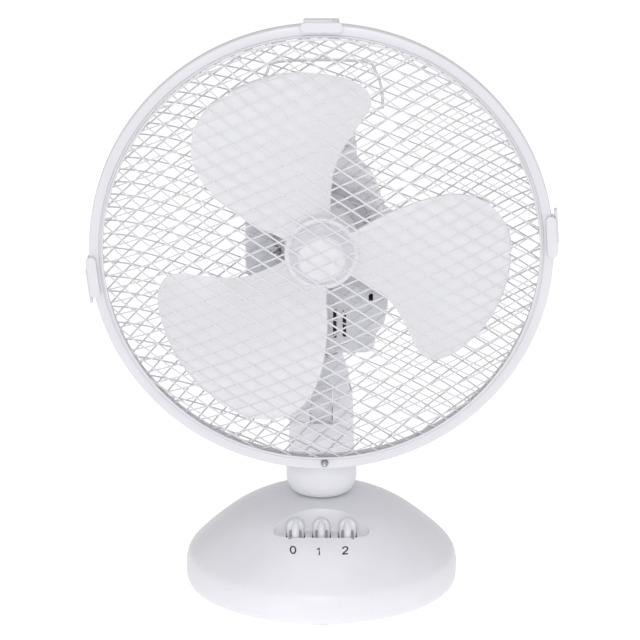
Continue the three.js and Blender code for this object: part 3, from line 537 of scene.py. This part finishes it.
# ---- motor housings -----------------------------------------------------------------------------
FLOOR_Z = 157.8
MOTOR_FRONT = -16
SPLIT_Y = 12
HOUSING_BACK = 78
HOUSING_WALL = 2.4
HUMP_TOP = 280
HOUSING_MIDDLE = 222
MOTOR_R = 39.2
EAR_TOP = 243.5
EAR_SCREW = (28.8, 226.5)
EAR_FADE = 18                  # behind the seam, over which the ears run out
VENT_R = 23.6
FRONT_VENT_X = (-15.6, -9.6, -3.6, 2.4, 8.4, 14.4)
REAR_VENT_X = (-20, -12, -4, 4, 12, 20)
KNOB_RIBS = 26


def housing_outline(inset=0.0):
    """The motor's outline, a round top with two ears and a narrower foot, or its inside a wall in."""
    half = [(28, FLOOR_Z), (31.5, FLOOR_Z + 1), (33.4, FLOOR_Z + 4), (35, FLOOR_Z + 13), (39.5, 176),
            (42, 188), (42, 204.4), (43.4, 207.2), (46.6, 209.6), (48, 212.4), (48, EAR_TOP - 1.9),
            (47.4, EAR_TOP - 0.5), (46, EAR_TOP), (40.6, EAR_TOP)]
    if inset:
        half = [(28 - inset, FLOOR_Z + inset), (35 - inset, FLOOR_Z + 13), (39.5 - inset, 176),
                (42 - inset, 188), (42 - inset, 206 - inset), (48 - inset, 212 - inset / 2),
                (48 - inset, EAR_TOP - inset), (40.6 - inset, EAR_TOP - inset)]
    radius = MOTOR_R - inset
    start = math.asin((EAR_TOP + 0.4 - inset - HEAD_Z) / radius)
    top = [(radius * math.cos(a), HEAD_Z + radius * math.sin(a)) for a in
           (start + (math.pi - 2 * start) * k / 48 for k in range(49))]
    return half + top + [(-x, z) for x, z in reversed(half)]


def arc_slot(radius, width, start, end):
    """A round slot about the shaft, through the motor's front."""
    angles = [math.radians(start + (end - start) * k / 8) for k in range(9)]
    outer, inner = [[(r * math.cos(a), HEAD_Z + r * math.sin(a)) for a in angles]
                    for r in (radius + width / 2, radius - width / 2)]
    return prism(outer + inner[::-1], MOTOR_FRONT - 12, MOTOR_FRONT + 6)


def loft(layers, inset=0.0):
    """A closed body from the motor's outline, run through layers of (y, scale), its ears fading out."""
    bm = bmesh.new()
    outline = housing_outline(inset)
    loops = []
    for y, k in layers:
        fade = min(1, max(0, 1 - (y - SPLIT_Y) / EAR_FADE))
        verts = []
        for x, z in outline:
            side = 42 - inset - max(0, z - 215) * 0.085
            if abs(x) > side and z > 200:
                x = math.copysign(side + (abs(x) - side) * fade, x)
            verts.append(bm.verts.new((x * k, y, HOUSING_MIDDLE + (z - HOUSING_MIDDLE) * k)))
        loops.append([bm.edges.new((a, b)) for a, b in zip(verts, verts[1:] + verts[:1])])
    for a, b in zip(loops, loops[1:]):
        bmesh.ops.bridge_loops(bm, edges=a + b)
    bmesh.ops.edgeloop_fill(bm, edges=loops[0])
    bmesh.ops.edgeloop_fill(bm, edges=loops[-1])
    return tidy(bm)


def make_front_cover():
    """The motor's front cover with its shaft nose, round ridge, ear pads, label frame and vents."""
    front = loft([(SPLIT_Y, 1.0), (MOTOR_FRONT + 3.5, 0.995), (MOTOR_FRONT + 1.6, 0.985),
                  (MOTOR_FRONT + 0.5, 0.972), (MOTOR_FRONT, 0.955)])
    front = combine(front, "DIFFERENCE", loft([(SPLIT_Y + 1, 1.0), (MOTOR_FRONT + 4, 0.99),
                                               (MOTOR_FRONT + HOUSING_WALL, 0.96)], HOUSING_WALL))
    nose = lathe([(0, -27), (12, -27), (13.6, -26.4), (14.4, -25), (14.4, MOTOR_FRONT + 2),
                  (0, MOTOR_FRONT + 2)], 64, "Y", HEAD_CENTRE)
    ridge = lathe([(30.6, MOTOR_FRONT + 1), (30.6, MOTOR_FRONT - 1.6), (31.4, MOTOR_FRONT - 2.4),
                   (33.4, MOTOR_FRONT - 2.4), (34.2, MOTOR_FRONT - 1.6), (34.2, MOTOR_FRONT + 1),
                   (30.6, MOTOR_FRONT + 1)], 96, "Y", HEAD_CENTRE)
    ears = [(side * EAR_SCREW[0], EAR_SCREW[1]) for side in (-1, 1)]
    pads = [rod((x, MOTOR_FRONT - 0.2, z), (x, -9, z), 5.2) for x, z in ears]
    boss = combine(rod((0, 0, FLOOR_Z), (0, 0, FLOOR_Z + 8), 13, 48), "DIFFERENCE",
                   block((-20, SPLIT_Y, 150), (20, 20, 180)))
    label_frame = combine(block((23, MOTOR_FRONT - 0.9, 163), (31, MOTOR_FRONT + 4, 171), 0.3), "DIFFERENCE",
                          block((24, MOTOR_FRONT - 2, 164), (30, MOTOR_FRONT - 0.2, 170)))
    front = combine(front, "UNION", nose, ridge, *pads, boss, label_frame)
    cuts = [arc_slot(VENT_R, 3.0, k * 45 - 5, k * 45 + 24) for k in range(8)]
    cuts += [block((x - 1.1, MOTOR_FRONT - 6, 169), (x + 1.1, MOTOR_FRONT + 5, 188)) for x in FRONT_VENT_X]
    cuts += [block((29.6, MOTOR_FRONT - 6, 193.5), (32.4, MOTOR_FRONT + 5, 198.5))]
    cuts += [rod((x, -30, z), (x, 5, z), 2.0) for x, z in ears]
    cuts += [rod((0, -40, HEAD_Z), (0, 0, HEAD_Z), 7.3), rod((0, 0, 150), (0, 0, 175), 5.4)]
    front = combine(front, "DIFFERENCE", *cuts)
    piece("motor_cover_front", front, "abs_moulded_satin_white", "head",
          ["motor_front_housing"], bevel=0.35)


def make_rear_cover():
    """The motor's domed rear cover with the gears' hump, the knob's seat and a row of vents."""
    layers = curve_through([(SPLIT_Y + 0.3, 1.0), (30, 0.992), (46, 0.968), (60, 0.895), (70, 0.77),
                            (76, 0.6), (HOUSING_BACK, 0.42)], 3)
    inside = [(SPLIT_Y - 1, 1.0)] + [(y - HOUSING_WALL, k) for y, k in layers[1:]]
    rear = combine(loft(layers), "DIFFERENCE", loft(inside, HOUSING_WALL))
    low, high = (-4, 24, 264), (22.5, 54, HUMP_TOP)
    hump = block(low, high, 2.2)
    seat = lathe([(4.2, HUMP_TOP - 2), (9.4, HUMP_TOP - 2), (9.4, HUMP_TOP + 0.8), (8.8, HUMP_TOP + 1.3),
                  (4.2, HUMP_TOP + 1.3), (4.2, HUMP_TOP - 2)], 64, centre=(KNOB_X, KNOB_Y, 0))
    rear = combine(rear, "UNION", hump, seat)
    room = block((low[0] + HOUSING_WALL, low[1] + HOUSING_WALL, 240),
                 tuple(edge - HOUSING_WALL for edge in high))
    rear = combine(rear, "DIFFERENCE", room)
    cuts = [block((x - 1.5, 56, 226), (x + 1.5, 90, 250)) for x in REAR_VENT_X]
    cuts += [rod((KNOB_X, KNOB_Y, 262), (KNOB_X, KNOB_Y, 300), 3.9), rod((0, 0, 150), (0, 0, 167), 13.4, 48)]
    rear = combine(rear, "DIFFERENCE", *cuts)
    piece("motor_cover_rear", rear, "abs_moulded_satin_white", "head", ["motor_rear_housing"],
          bevel=0.35)


def make_cover_screws():
    """Two cross-slotted screws through the ears of the motor's front cover."""
    z = EAR_SCREW[1]
    for i, x in enumerate((-EAR_SCREW[0], EAR_SCREW[0])):
        screw = lathe([(0, -17.4), (2.2, -18.1), (3.2, -17.7), (3.6, -16.9), (3.6, -16.3), (1.7, -16.3),
                       (1.7, -4), (0, -4)], 32, "Y", (x, 0, z))
        cross = [block((x - 1.7, -19, z - 0.35), (x + 1.7, -17, z + 0.35)),
                 block((x - 0.35, -19, z - 1.7), (x + 0.35, -17, z + 1.7))]
        piece(f"cover_screw_{i + 1}", combine(screw, "DIFFERENCE", *cross), "zinc_plated_steel", "head",
              [f"housing_screw_{i + 1}"])


def make_swing_knob():
    """The ribbed knob that is pulled up to stop the swing."""
    cap = [(0, 292), (5.8, 292), (7.3, 291.4), (8, 290), (8, 284), (7.4, 282.4), (6.4, 282), (2.9, 282),
           (2.9, 260), (0, 260)]
    knob = lathe(cap, 64, centre=(KNOB_X, KNOB_Y, 0))
    ribs = []
    for k in range(KNOB_RIBS):
        turn = math.tau * k / KNOB_RIBS
        x, y = KNOB_X + 7.9 * math.cos(turn), KNOB_Y + 7.9 * math.sin(turn)
        ribs.append(rod((x, y, 284.2), (x, y, 290), 0.5, 8))
    piece("swing_knob", join(knob, *ribs), "abs_moulded_satin_white", "knob",
          ["oscillation_knob"])


# ---- rotor --------------------------------------------------------------------------------------
BLADE_Y = -62
BLADE_T = 1.8
HELIX = 17                     # pitch of the blades: millimetres along the shaft for each radian
CAMBER = 2.4
# The edges as (radius, degrees), from the root out to the tip.
TRAILING = [(20, 42), (27, 37), (46, 35), (60, 32.6), (70, 31), (80, 29), (90, 26.5), (99, 23), (106, 19),
            (111.5, 14), (114.6, 7.5), (115.4, 1.5)]
LEADING = [(20, -46), (27, -40), (46, -37.5), (60, -40), (70, -43), (79, -45.6), (88, -47.6), (96, -48.2),
           (102.5, -46), (106.4, -42), (108.6, -37.5), (110.4, -31.5), (112.6, -24), (114.2, -15), (115, -7),
           (115.4, -1.5)]
BLADE_ANGLES = (119.8, -0.2, 239.8)
HUB_R = 23
HUB_FRONT = -66
HUB_BACK = -36


def share_along(curve, t):
    """The point at a share of the way along a finely drawn curve."""
    at = t * (len(curve) - 1)
    i = min(int(at), len(curve) - 2)
    return Vector(curve[i]).lerp(Vector(curve[i + 1]), at - i)


def blade():
    """One blade about the shaft: a grid between its two edges, twisted, cambered and given its thickness."""
    trailing, leading = curve_through(TRAILING, 12), curve_through(LEADING, 12)
    bm = bmesh.new()
    bmesh.ops.create_grid(bm, x_segments=30, y_segments=44, size=0.5)
    for v in bm.verts:
        s, t = v.co.x + 0.5, v.co.y + 0.5
        first, last = share_along(trailing, t), share_along(leading, t)
        radius = first.x + (last.x - first.x) * s
        angle = math.radians(first.y + (last.y - first.y) * s)
        camber = CAMBER * (1 - (2 * s - 1) ** 2) * min(1, (radius - 18) / 40)
        twist = HELIX * min(1, 0.1 + radius / 70) * angle
        y = BLADE_Y - twist - camber + CAMBER / 2
        v.co = (radius * math.cos(angle), y, HEAD_Z + radius * math.sin(angle))
    bmesh.ops.recalc_face_normals(bm, faces=bm.faces)
    bmesh.ops.solidify(bm, geom=bm.faces[:], thickness=BLADE_T)
    return bm


def make_rotor():
    """The hub with its three blades, and the spinner that holds them on the shaft."""
    drum = lathe([(4.4, HUB_FRONT + 0.8), (19.6, HUB_FRONT + 0.8), (20.0, HUB_FRONT + 0.2), (20.6, HUB_FRONT),
                  (21.8, HUB_FRONT), (22.7, HUB_FRONT + 0.4), (HUB_R, HUB_FRONT + 1.4),
                  (HUB_R, HUB_BACK), (21, HUB_BACK), (21, HUB_FRONT + 4), (9, HUB_FRONT + 4),
                  (9, HUB_BACK + 2), (4.4, HUB_BACK + 2), (4.4, HUB_FRONT + 2.4)], 96, "Y", HEAD_CENTRE)
    hollow = lathe([(9.5, -80), (21.6, -80), (21.6, -10), (9.5, -10), (9.5, -80)], 96, "Y", HEAD_CENTRE)
    blades = []
    for angle in BLADE_ANGLES:
        bm = about_shaft(blade(), angle)
        bmesh.ops.recalc_face_normals(bm, faces=bm.faces)
        blades.append(combine(bm, "DIFFERENCE", hollow.copy()))
    hollow.free()
    piece("blade_rotor", join(drum, *blades), "polypropylene_moulded_white", "rotor",
          ["fan_blade"], bevel=0.5, sharp=40)
    cap = [(0, -77.5), (11.6, -77.3), (13.4, -76.9), (14.6, -76), (15.2, -74.6), (16.0, -71.4), (17.2, -68.2),
           (18.6, -66.6), (19.0, HUB_FRONT + 0.6), (4.4, HUB_FRONT + 0.6), (4.4, -71), (0, -71)]
    piece("blade_spinner", lathe(cap, 96, "Y", HEAD_CENTRE), "polypropylene_moulded_white", "rotor",
          ["spinner"], sharp=40)


# ---- guards -------------------------------------------------------------------------------------
MESH_R = 136.9
RING_FRONT = -58
RING_BACK = -50
RING_R = 143.5
CLIP_ANGLES = (3.6, 90, 187)
CLIP_TONGUES = ((-5, 17), (-7, 11), (-5, 17))      # each clip's outer tongue, from and to along the ring
NUT_GRIPS = 12


def pressed_front(r):
    """Y of the front guard's dish at a radius, nearly flat over the blades and steep at the rim."""
    return RING_FRONT + 1.8 - 27.5 * (1 - min(1, r / MESH_R) ** 3.5)


def pressed_rear(r):
    """Y of the rear guard's deeper dish at a radius."""
    return RING_BACK - 1.2 + 31 * (1 - min(1, r / MESH_R) ** 6)


def lattice(pressed, lean, phase, inner=0.0):
    """Two families of straight wires, welded where they cross and pressed to a dish.

    The mesh is turned by lean degrees, one crossing lies at phase, and inner is its middle hole's radius.
    """
    sizes = bpy.context.scene.desk_fan_sizes
    width, height, radius = sizes.cell_width / MM, sizes.cell_height / MM, sizes.wire_diameter / 2 / MM
    slope = math.atan2(height, width)
    pitch = width * math.sin(slope)
    count = int(MESH_R / pitch) + 1
    routes = []
    for side in (1, -1):
        angle = side * slope + math.radians(lean)
        along = Vector((math.cos(angle), math.sin(angle)))
        off = Vector((-along.y, along.x))
        for k in range(-count - 4, count + 5):
            d = k * pitch + off.dot(Vector(phase)) % pitch
            if abs(d) > MESH_R - 2:
                continue
            reach = math.sqrt(MESH_R ** 2 - d ** 2)
            parts = [(-1, 1)]
            if abs(d) < inner:
                stop = math.sqrt(inner ** 2 - d ** 2) / reach
                parts = [(-1, -stop), (stop, 1)]
            for a, b in parts:
                steps = max(6, int(34 * reach / MESH_R * (b - a) / 2))
                low, high = math.asin(a), math.asin(b)
                route = []
                for n in range(steps + 1):
                    t = reach * math.sin(low + (high - low) * n / steps)
                    p = off * d + along * t
                    route.append((p.x, pressed(p.length) + side * radius * 0.8, HEAD_Z + p.y))
                routes.append(route)
    return wires(routes, radius)


def hoop(radius, y, thick):
    """A round wire ring about the shaft."""
    route = [(radius * math.cos(a), y, HEAD_Z + radius * math.sin(a)) for a in
             (math.tau * k / 96 for k in range(96))]
    return wires([route], thick, cyclic=True, resolution=2)


def on_ring(bm, degrees):
    """A part drawn as (radius, y, along the ring) moved to its place on the clamp ring."""
    bmesh.ops.translate(bm, verts=bm.verts, vec=HEAD_CENTRE)
    return about_shaft(bm, degrees)


def capsule(low, high, radius):
    """A plate along Y with round ends and softened edges."""
    outline = []
    corners = ((high[0], high[2]), (low[0], high[2]), (low[0], low[2]), (high[0], low[2]))
    for quarter, (x, z) in enumerate(corners):
        cx, cz = x - math.copysign(radius, x - low[0] - 0.1), z - math.copysign(radius, z)
        outline += [(cx + radius * math.cos(a), cz + radius * math.sin(a)) for a in
                    (math.radians(90 * quarter + 90 * k / 6) for k in range(7))]
    bm = prism(outline, low[1], high[1])
    soften(bm, 1.2, 0.6)
    return bm


def make_wire_guards():
    """The front and rear guards: welded mesh, rim wires and the rear guard's mounting plate."""
    front = join(lattice(pressed_front, -5.2, (22.3, -20.2)), hoop(MESH_R - 0.4, RING_FRONT + 0.2, 0.9),
                 hoop(MESH_R - 1.6, RING_FRONT - 3.0, 0.7), hoop(MESH_R + 2.6, RING_FRONT + 2.4, 1.0))
    piece("front_guard_wires", front, "powder_coated_steel_wire", "head", ["front_guard"],
          sharp=60)
    plate = lathe([(14.8, -22), (27, -22), (27, -20.9), (25.5, -19.5), (14.8, -19.5), (14.8, -22)], 64, "Y",
                  HEAD_CENTRE)
    rear = join(lattice(pressed_rear, 8, (0, 0), 25), hoop(MESH_R - 0.4, RING_BACK - 0.4, 0.9),
                hoop(MESH_R + 2.6, RING_BACK - 2.8, 1.0), plate)
    piece("rear_guard_wires", rear, "powder_coated_steel_wire", "head", ["rear_guard"],
          sharp=60)


def make_clamp_ring():
    """The channel that grips both guards' rims, with a lug behind it for each clip."""
    profile = [(137.3, RING_FRONT + 0.3), (137.6, RING_FRONT), (142.4, RING_FRONT), (143.1, RING_FRONT + 0.3),
               (143.4, RING_FRONT + 0.8), (RING_R, RING_FRONT + 1.6), (RING_R, RING_BACK - 1.2),
               (143.1, RING_BACK - 0.3), (142.2, RING_BACK), (137.8, RING_BACK), (137.4, RING_BACK - 0.6),
               (137.6, RING_BACK - 1.4), (141.6, RING_BACK - 1.6), (141.6, RING_FRONT + 1.6),
               (137.6, RING_FRONT + 1.4), (137.3, RING_FRONT + 0.3)]
    parts = [lathe(profile, 192, "Y", HEAD_CENTRE)]
    for degrees in CLIP_ANGLES:
        lug = block((141.2, RING_BACK - 0.6, -11), (144.8, RING_BACK + 4.6, 11), 0.8)
        parts.append(on_ring(lug, degrees))
    # Its finish is the body's white ABS greyed by painted shade.
    piece("clamp_ring", join(*parts), "abs_moulded_satin_white_painted_shade", "head",
          ["guard_clamp_ring"])


def make_ring_clips():
    """Three clips over the clamp ring, each a rounded front, a bridge and a raised tongue."""
    for i, (degrees, (low, high)) in enumerate(zip(CLIP_ANGLES, CLIP_TONGUES)):
        clip = [
            capsule((139, RING_FRONT - 2.2, -13.2), (145.4, RING_FRONT - 0.3, 13.2), 2.9),
            block((143.9, RING_FRONT - 2.0, -10.2), (145.6, RING_BACK - 0.8, 10.2), 0.75),
            block((144.7, RING_FRONT, low), (146.5, RING_BACK - 2, high), 0.8),
        ]
        # Its finish is the body's white ABS greyed by painted shade.
        piece(f"ring_clip_{i + 1}", on_ring(join(*clip), degrees), "abs_moulded_satin_white_painted_shade",
              f"clip_{i + 1}", [f"guard_clip_{i + 1}"])


def make_ring_screw():
    """The small slotted screw at the bottom of the clamp ring."""
    x, z = 2, HEAD_Z - 139.4
    screw = lathe([(0, -59.6), (1.4, -60.1), (2.2, -59.6), (2.4, -58.3), (1.1, -58.3), (1.1, -48.5),
                   (0, -48.5)], 24, "Y", (x, 0, z))
    slot = block((x - 3, -61, z - 0.3), (x + 3, -59.5, z + 0.3))
    piece("ring_screw", combine(screw, "DIFFERENCE", slot), "zinc_plated_steel", "head",
          ["guard_screw"])


def make_ring_nut():
    """The round nut with grips that holds the rear guard on the motor's nose."""
    nut = lathe([(14.8, -26.5), (19.6, -26.5), (20.6, -25.8), (21, -24.6), (21, -22.3), (14.8, -22.3),
                 (14.8, -26.5)], 72, "Y", HEAD_CENTRE)
    grips = []
    for k in range(NUT_GRIPS):
        turn = math.tau * k / NUT_GRIPS
        x, z = 20.6 * math.cos(turn), HEAD_Z + 20.6 * math.sin(turn)
        grips.append(rod((x, -26, z), (x, -22.6, z), 1.3, 12))
    piece("ring_nut", join(nut, *grips), "abs_moulded_satin_white", "head", ["guard_nut"])


def make_carry_handle():
    """The bent wire behind the top of the guards, from one end round to the other."""
    bends = [(-38, -19.6, 80), (-37.4, -14, 90), (-34, -5, 99), (-25, 0, 105)]
    bends += [(-x, y, z) for x, y, z in reversed(bends)]
    route = curve_through([(x, y, HEAD_Z + z) for x, y, z in bends], 8)
    piece("bent_wire_handle", wires([route], 1.0, resolution=5), "powder_coated_steel_wire", "head",
          ["carry_handle"], sharp=60)


# ---- stage --------------------------------------------------------------------------------------
CAMERA_PLACE = (0.0, -2.951, 1.151)
CAMERA_PITCH = 18.29           # degrees below level
CAMERA_LENS = 276.5
FAN_MIDDLE = (0, 0, 0.2)
FLOOR_SIZE = 8
FLOOR_GAP = 0.0005           # keeps the floor clear of the feet


def area_light(name, place, size, power):
    """A soft light that faces the fan; places and sizes on the stage are in metres."""
    light = bpy.data.lights.new(name, "AREA")
    light.shape = "RECTANGLE"
    light.size, light.size_y = size
    light.energy = power
    item = bpy.data.objects.new(name, light)
    item.location = place
    item.rotation_euler = (Vector(FAN_MIDDLE) - Vector(place)).to_track_quat("-Z", "Y").to_euler()
    bpy.context.scene.collection.objects.link(item)


def make_floor():
    """A plain pale floor under the fan."""
    bm = bmesh.new()
    bmesh.ops.create_grid(bm, x_segments=8, y_segments=8, size=FLOOR_SIZE)
    bmesh.ops.translate(bm, verts=bm.verts, vec=(0, 0, -FLOOR_GAP))
    mesh = bpy.data.meshes.new("studio_floor")
    bm.to_mesh(mesh)
    bm.free()
    # Opal acrylic light table: matt and pale, with a little light from below.
    shader = surface("opal_acrylic_sheet", linear("#f8f8f8"), linear("#f4f4f4"), 0.9, 0.03, 2.0, 0.01,
                     cloud_mm=300)[1]
    shader.inputs["Emission Color"].default_value = (1, 1, 1, 1)
    shader.inputs["Emission Strength"].default_value = 0.42
    mesh.materials.append(MATERIALS["opal_acrylic_sheet"])
    floor = bpy.data.objects.new("studio_floor", mesh)
    bpy.context.scene.collection.objects.link(floor)


def make_lights():
    """An even white surround, a softbox in front and a larger one above."""
    world = bpy.data.worlds.new("studio_light")
    world.use_nodes = True
    world.node_tree.nodes["Background"].inputs["Color"].default_value = (1, 1, 1, 1)
    world.node_tree.nodes["Background"].inputs["Strength"].default_value = 0.57
    scene = bpy.context.scene
    scene.world = world
    scene.view_settings.view_transform = "Standard"
    area_light("front_softbox", (0, -3.2, 1.3), (1.0, 0.8), 29)
    area_light("top_softbox", (0, -0.6, 2.4), (1.8, 1.8), 14)


def make_camera():
    """A long lens a little above the fan, looking down at it."""
    camera = bpy.data.cameras.new("view")
    camera.lens = CAMERA_LENS
    camera.sensor_width = 36
    camera.shift_x = -0.0023
    camera.clip_end = 20
    item = bpy.data.objects.new("view", camera)
    item.location = CAMERA_PLACE
    item.rotation_euler = (math.radians(90 - CAMERA_PITCH), 0, 0)
    scene = bpy.context.scene
    scene.collection.objects.link(item)
    scene.camera = item


# ---- add-on -------------------------------------------------------------------------------------
class DeskFanSizes(bpy.types.PropertyGroup):
    """Sizes that can be changed without moving any joint."""
    wire_diameter: FloatProperty(name="Guard wire", description="Diameter of the guards' mesh wires",
                                 default=0.00115, subtype="DISTANCE", unit="LENGTH")
    cell_width: FloatProperty(name="Cell width", description="Width of a mesh diamond", default=0.017,
                              subtype="DISTANCE", unit="LENGTH")
    cell_height: FloatProperty(name="Cell height", description="Height of a mesh diamond", default=0.00965,
                               subtype="DISTANCE", unit="LENGTH")
    number_height: FloatProperty(name="Number height", description="Height of the printed numbers",
                                 default=0.006, subtype="DISTANCE", unit="LENGTH")


class DeskFanColours(bpy.types.PropertyGroup):
    """Colours of the fan's main finishes."""
    body: FloatVectorProperty(name="Body", description="Colour of the moulded body", subtype="COLOR", size=3,
                              min=0, max=1, default=linear("#e9e9ee")[:3])
    rotor: FloatVectorProperty(name="Rotor", description="Colour of the blades", subtype="COLOR", size=3,
                               min=0, max=1, default=linear("#e9e9ed")[:3])
    wire: FloatVectorProperty(name="Wire", description="Colour of the coated wires", subtype="COLOR", size=3,
                              min=0, max=1, default=linear("#dadade")[:3])


class DESKFAN_OT_stage(bpy.types.Operator):
    """Makes the floor, the lights and the camera"""
    bl_idname = "deskfan.stage"
    bl_label = "Stage"

    def execute(self, context):
        make_floor()
        make_lights()
        make_camera()
        return {"FINISHED"}


class DESKFAN_OT_finishes(bpy.types.Operator):
    """Makes the materials and gives the CAD pieces theirs"""
    bl_idname = "deskfan.finishes"
    bl_label = "Finishes"

    def execute(self, context):
        make_materials()
        for finish, names in CAD_FINISHES.items():
            for name in names:
                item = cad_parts[name]
                if not item.material_slots:
                    item.data.materials.append(MATERIALS[finish])
                for holder in item.material_slots:
                    holder.material = MATERIALS[finish]
        return {"FINISHED"}


class DESKFAN_OT_base(bpy.types.Operator):
    """Makes the domed base with its feet and its cord inlet"""
    bl_idname = "deskfan.base"
    bl_label = "Base"

    def execute(self, context):
        make_base()
        return {"FINISHED"}


class DESKFAN_OT_buttons(bpy.types.Operator):
    """Makes the three push buttons and their printed numbers"""
    bl_idname = "deskfan.buttons"
    bl_label = "Buttons"

    def execute(self, context):
        make_buttons()
        make_numbers()
        return {"FINISHED"}


class DESKFAN_OT_neck(bpy.types.Operator):
    """Makes the neck column and the tilting yoke"""
    bl_idname = "deskfan.neck"
    bl_label = "Neck"

    def execute(self, context):
        make_neck()
        return {"FINISHED"}


class DESKFAN_OT_motor(bpy.types.Operator):
    """Makes the motor's covers, their screws and the oscillation knob"""
    bl_idname = "deskfan.motor"
    bl_label = "Motor covers"

    def execute(self, context):
        make_front_cover()
        make_rear_cover()
        make_cover_screws()
        make_swing_knob()
        return {"FINISHED"}


class DESKFAN_OT_rotor(bpy.types.Operator):
    """Makes the three blades with their hub, and the spinner"""
    bl_idname = "deskfan.rotor"
    bl_label = "Blades"

    def execute(self, context):
        make_rotor()
        return {"FINISHED"}


class DESKFAN_OT_guards(bpy.types.Operator):
    """Makes the wire guards, their clamp ring, clips, nut, screw and carry handle"""
    bl_idname = "deskfan.guards"
    bl_label = "Guards"

    def execute(self, context):
        make_wire_guards()
        make_clamp_ring()
        make_ring_clips()
        make_ring_screw()
        make_ring_nut()
        make_carry_handle()
        return {"FINISHED"}


OPERATORS = (DESKFAN_OT_stage, DESKFAN_OT_finishes, DESKFAN_OT_base, DESKFAN_OT_buttons, DESKFAN_OT_neck,
             DESKFAN_OT_motor, DESKFAN_OT_rotor, DESKFAN_OT_guards)


class DESKFAN_PT_panel(bpy.types.Panel):
    """Lists the fan's sizes, colours and building steps"""
    bl_idname = "DESKFAN_PT_panel"
    bl_label = "Desk Fan"
    bl_space_type = "VIEW_3D"
    bl_region_type = "UI"
    bl_category = "Desk Fan"

    def draw(self, context):
        for group in (context.scene.desk_fan_sizes, context.scene.desk_fan_colours):
            for name in group.__annotations__:
                self.layout.prop(group, name)
        for operator in OPERATORS:
            self.layout.operator(operator.bl_idname)


CLASSES = (DeskFanSizes, DeskFanColours, *OPERATORS, DESKFAN_PT_panel)


def register():
    for item in CLASSES:
        bpy.utils.register_class(item)
    bpy.types.Scene.desk_fan_sizes = PointerProperty(type=DeskFanSizes)
    bpy.types.Scene.desk_fan_colours = PointerProperty(type=DeskFanColours)


def unregister():
    del bpy.types.Scene.desk_fan_colours
    del bpy.types.Scene.desk_fan_sizes
    for item in reversed(CLASSES):
        bpy.utils.unregister_class(item)


def main():
    register()
    for operator in OPERATORS:
        group, name = operator.bl_idname.split(".")
        getattr(getattr(bpy.ops, group), name)()


if __name__ == "__main__":
    main()
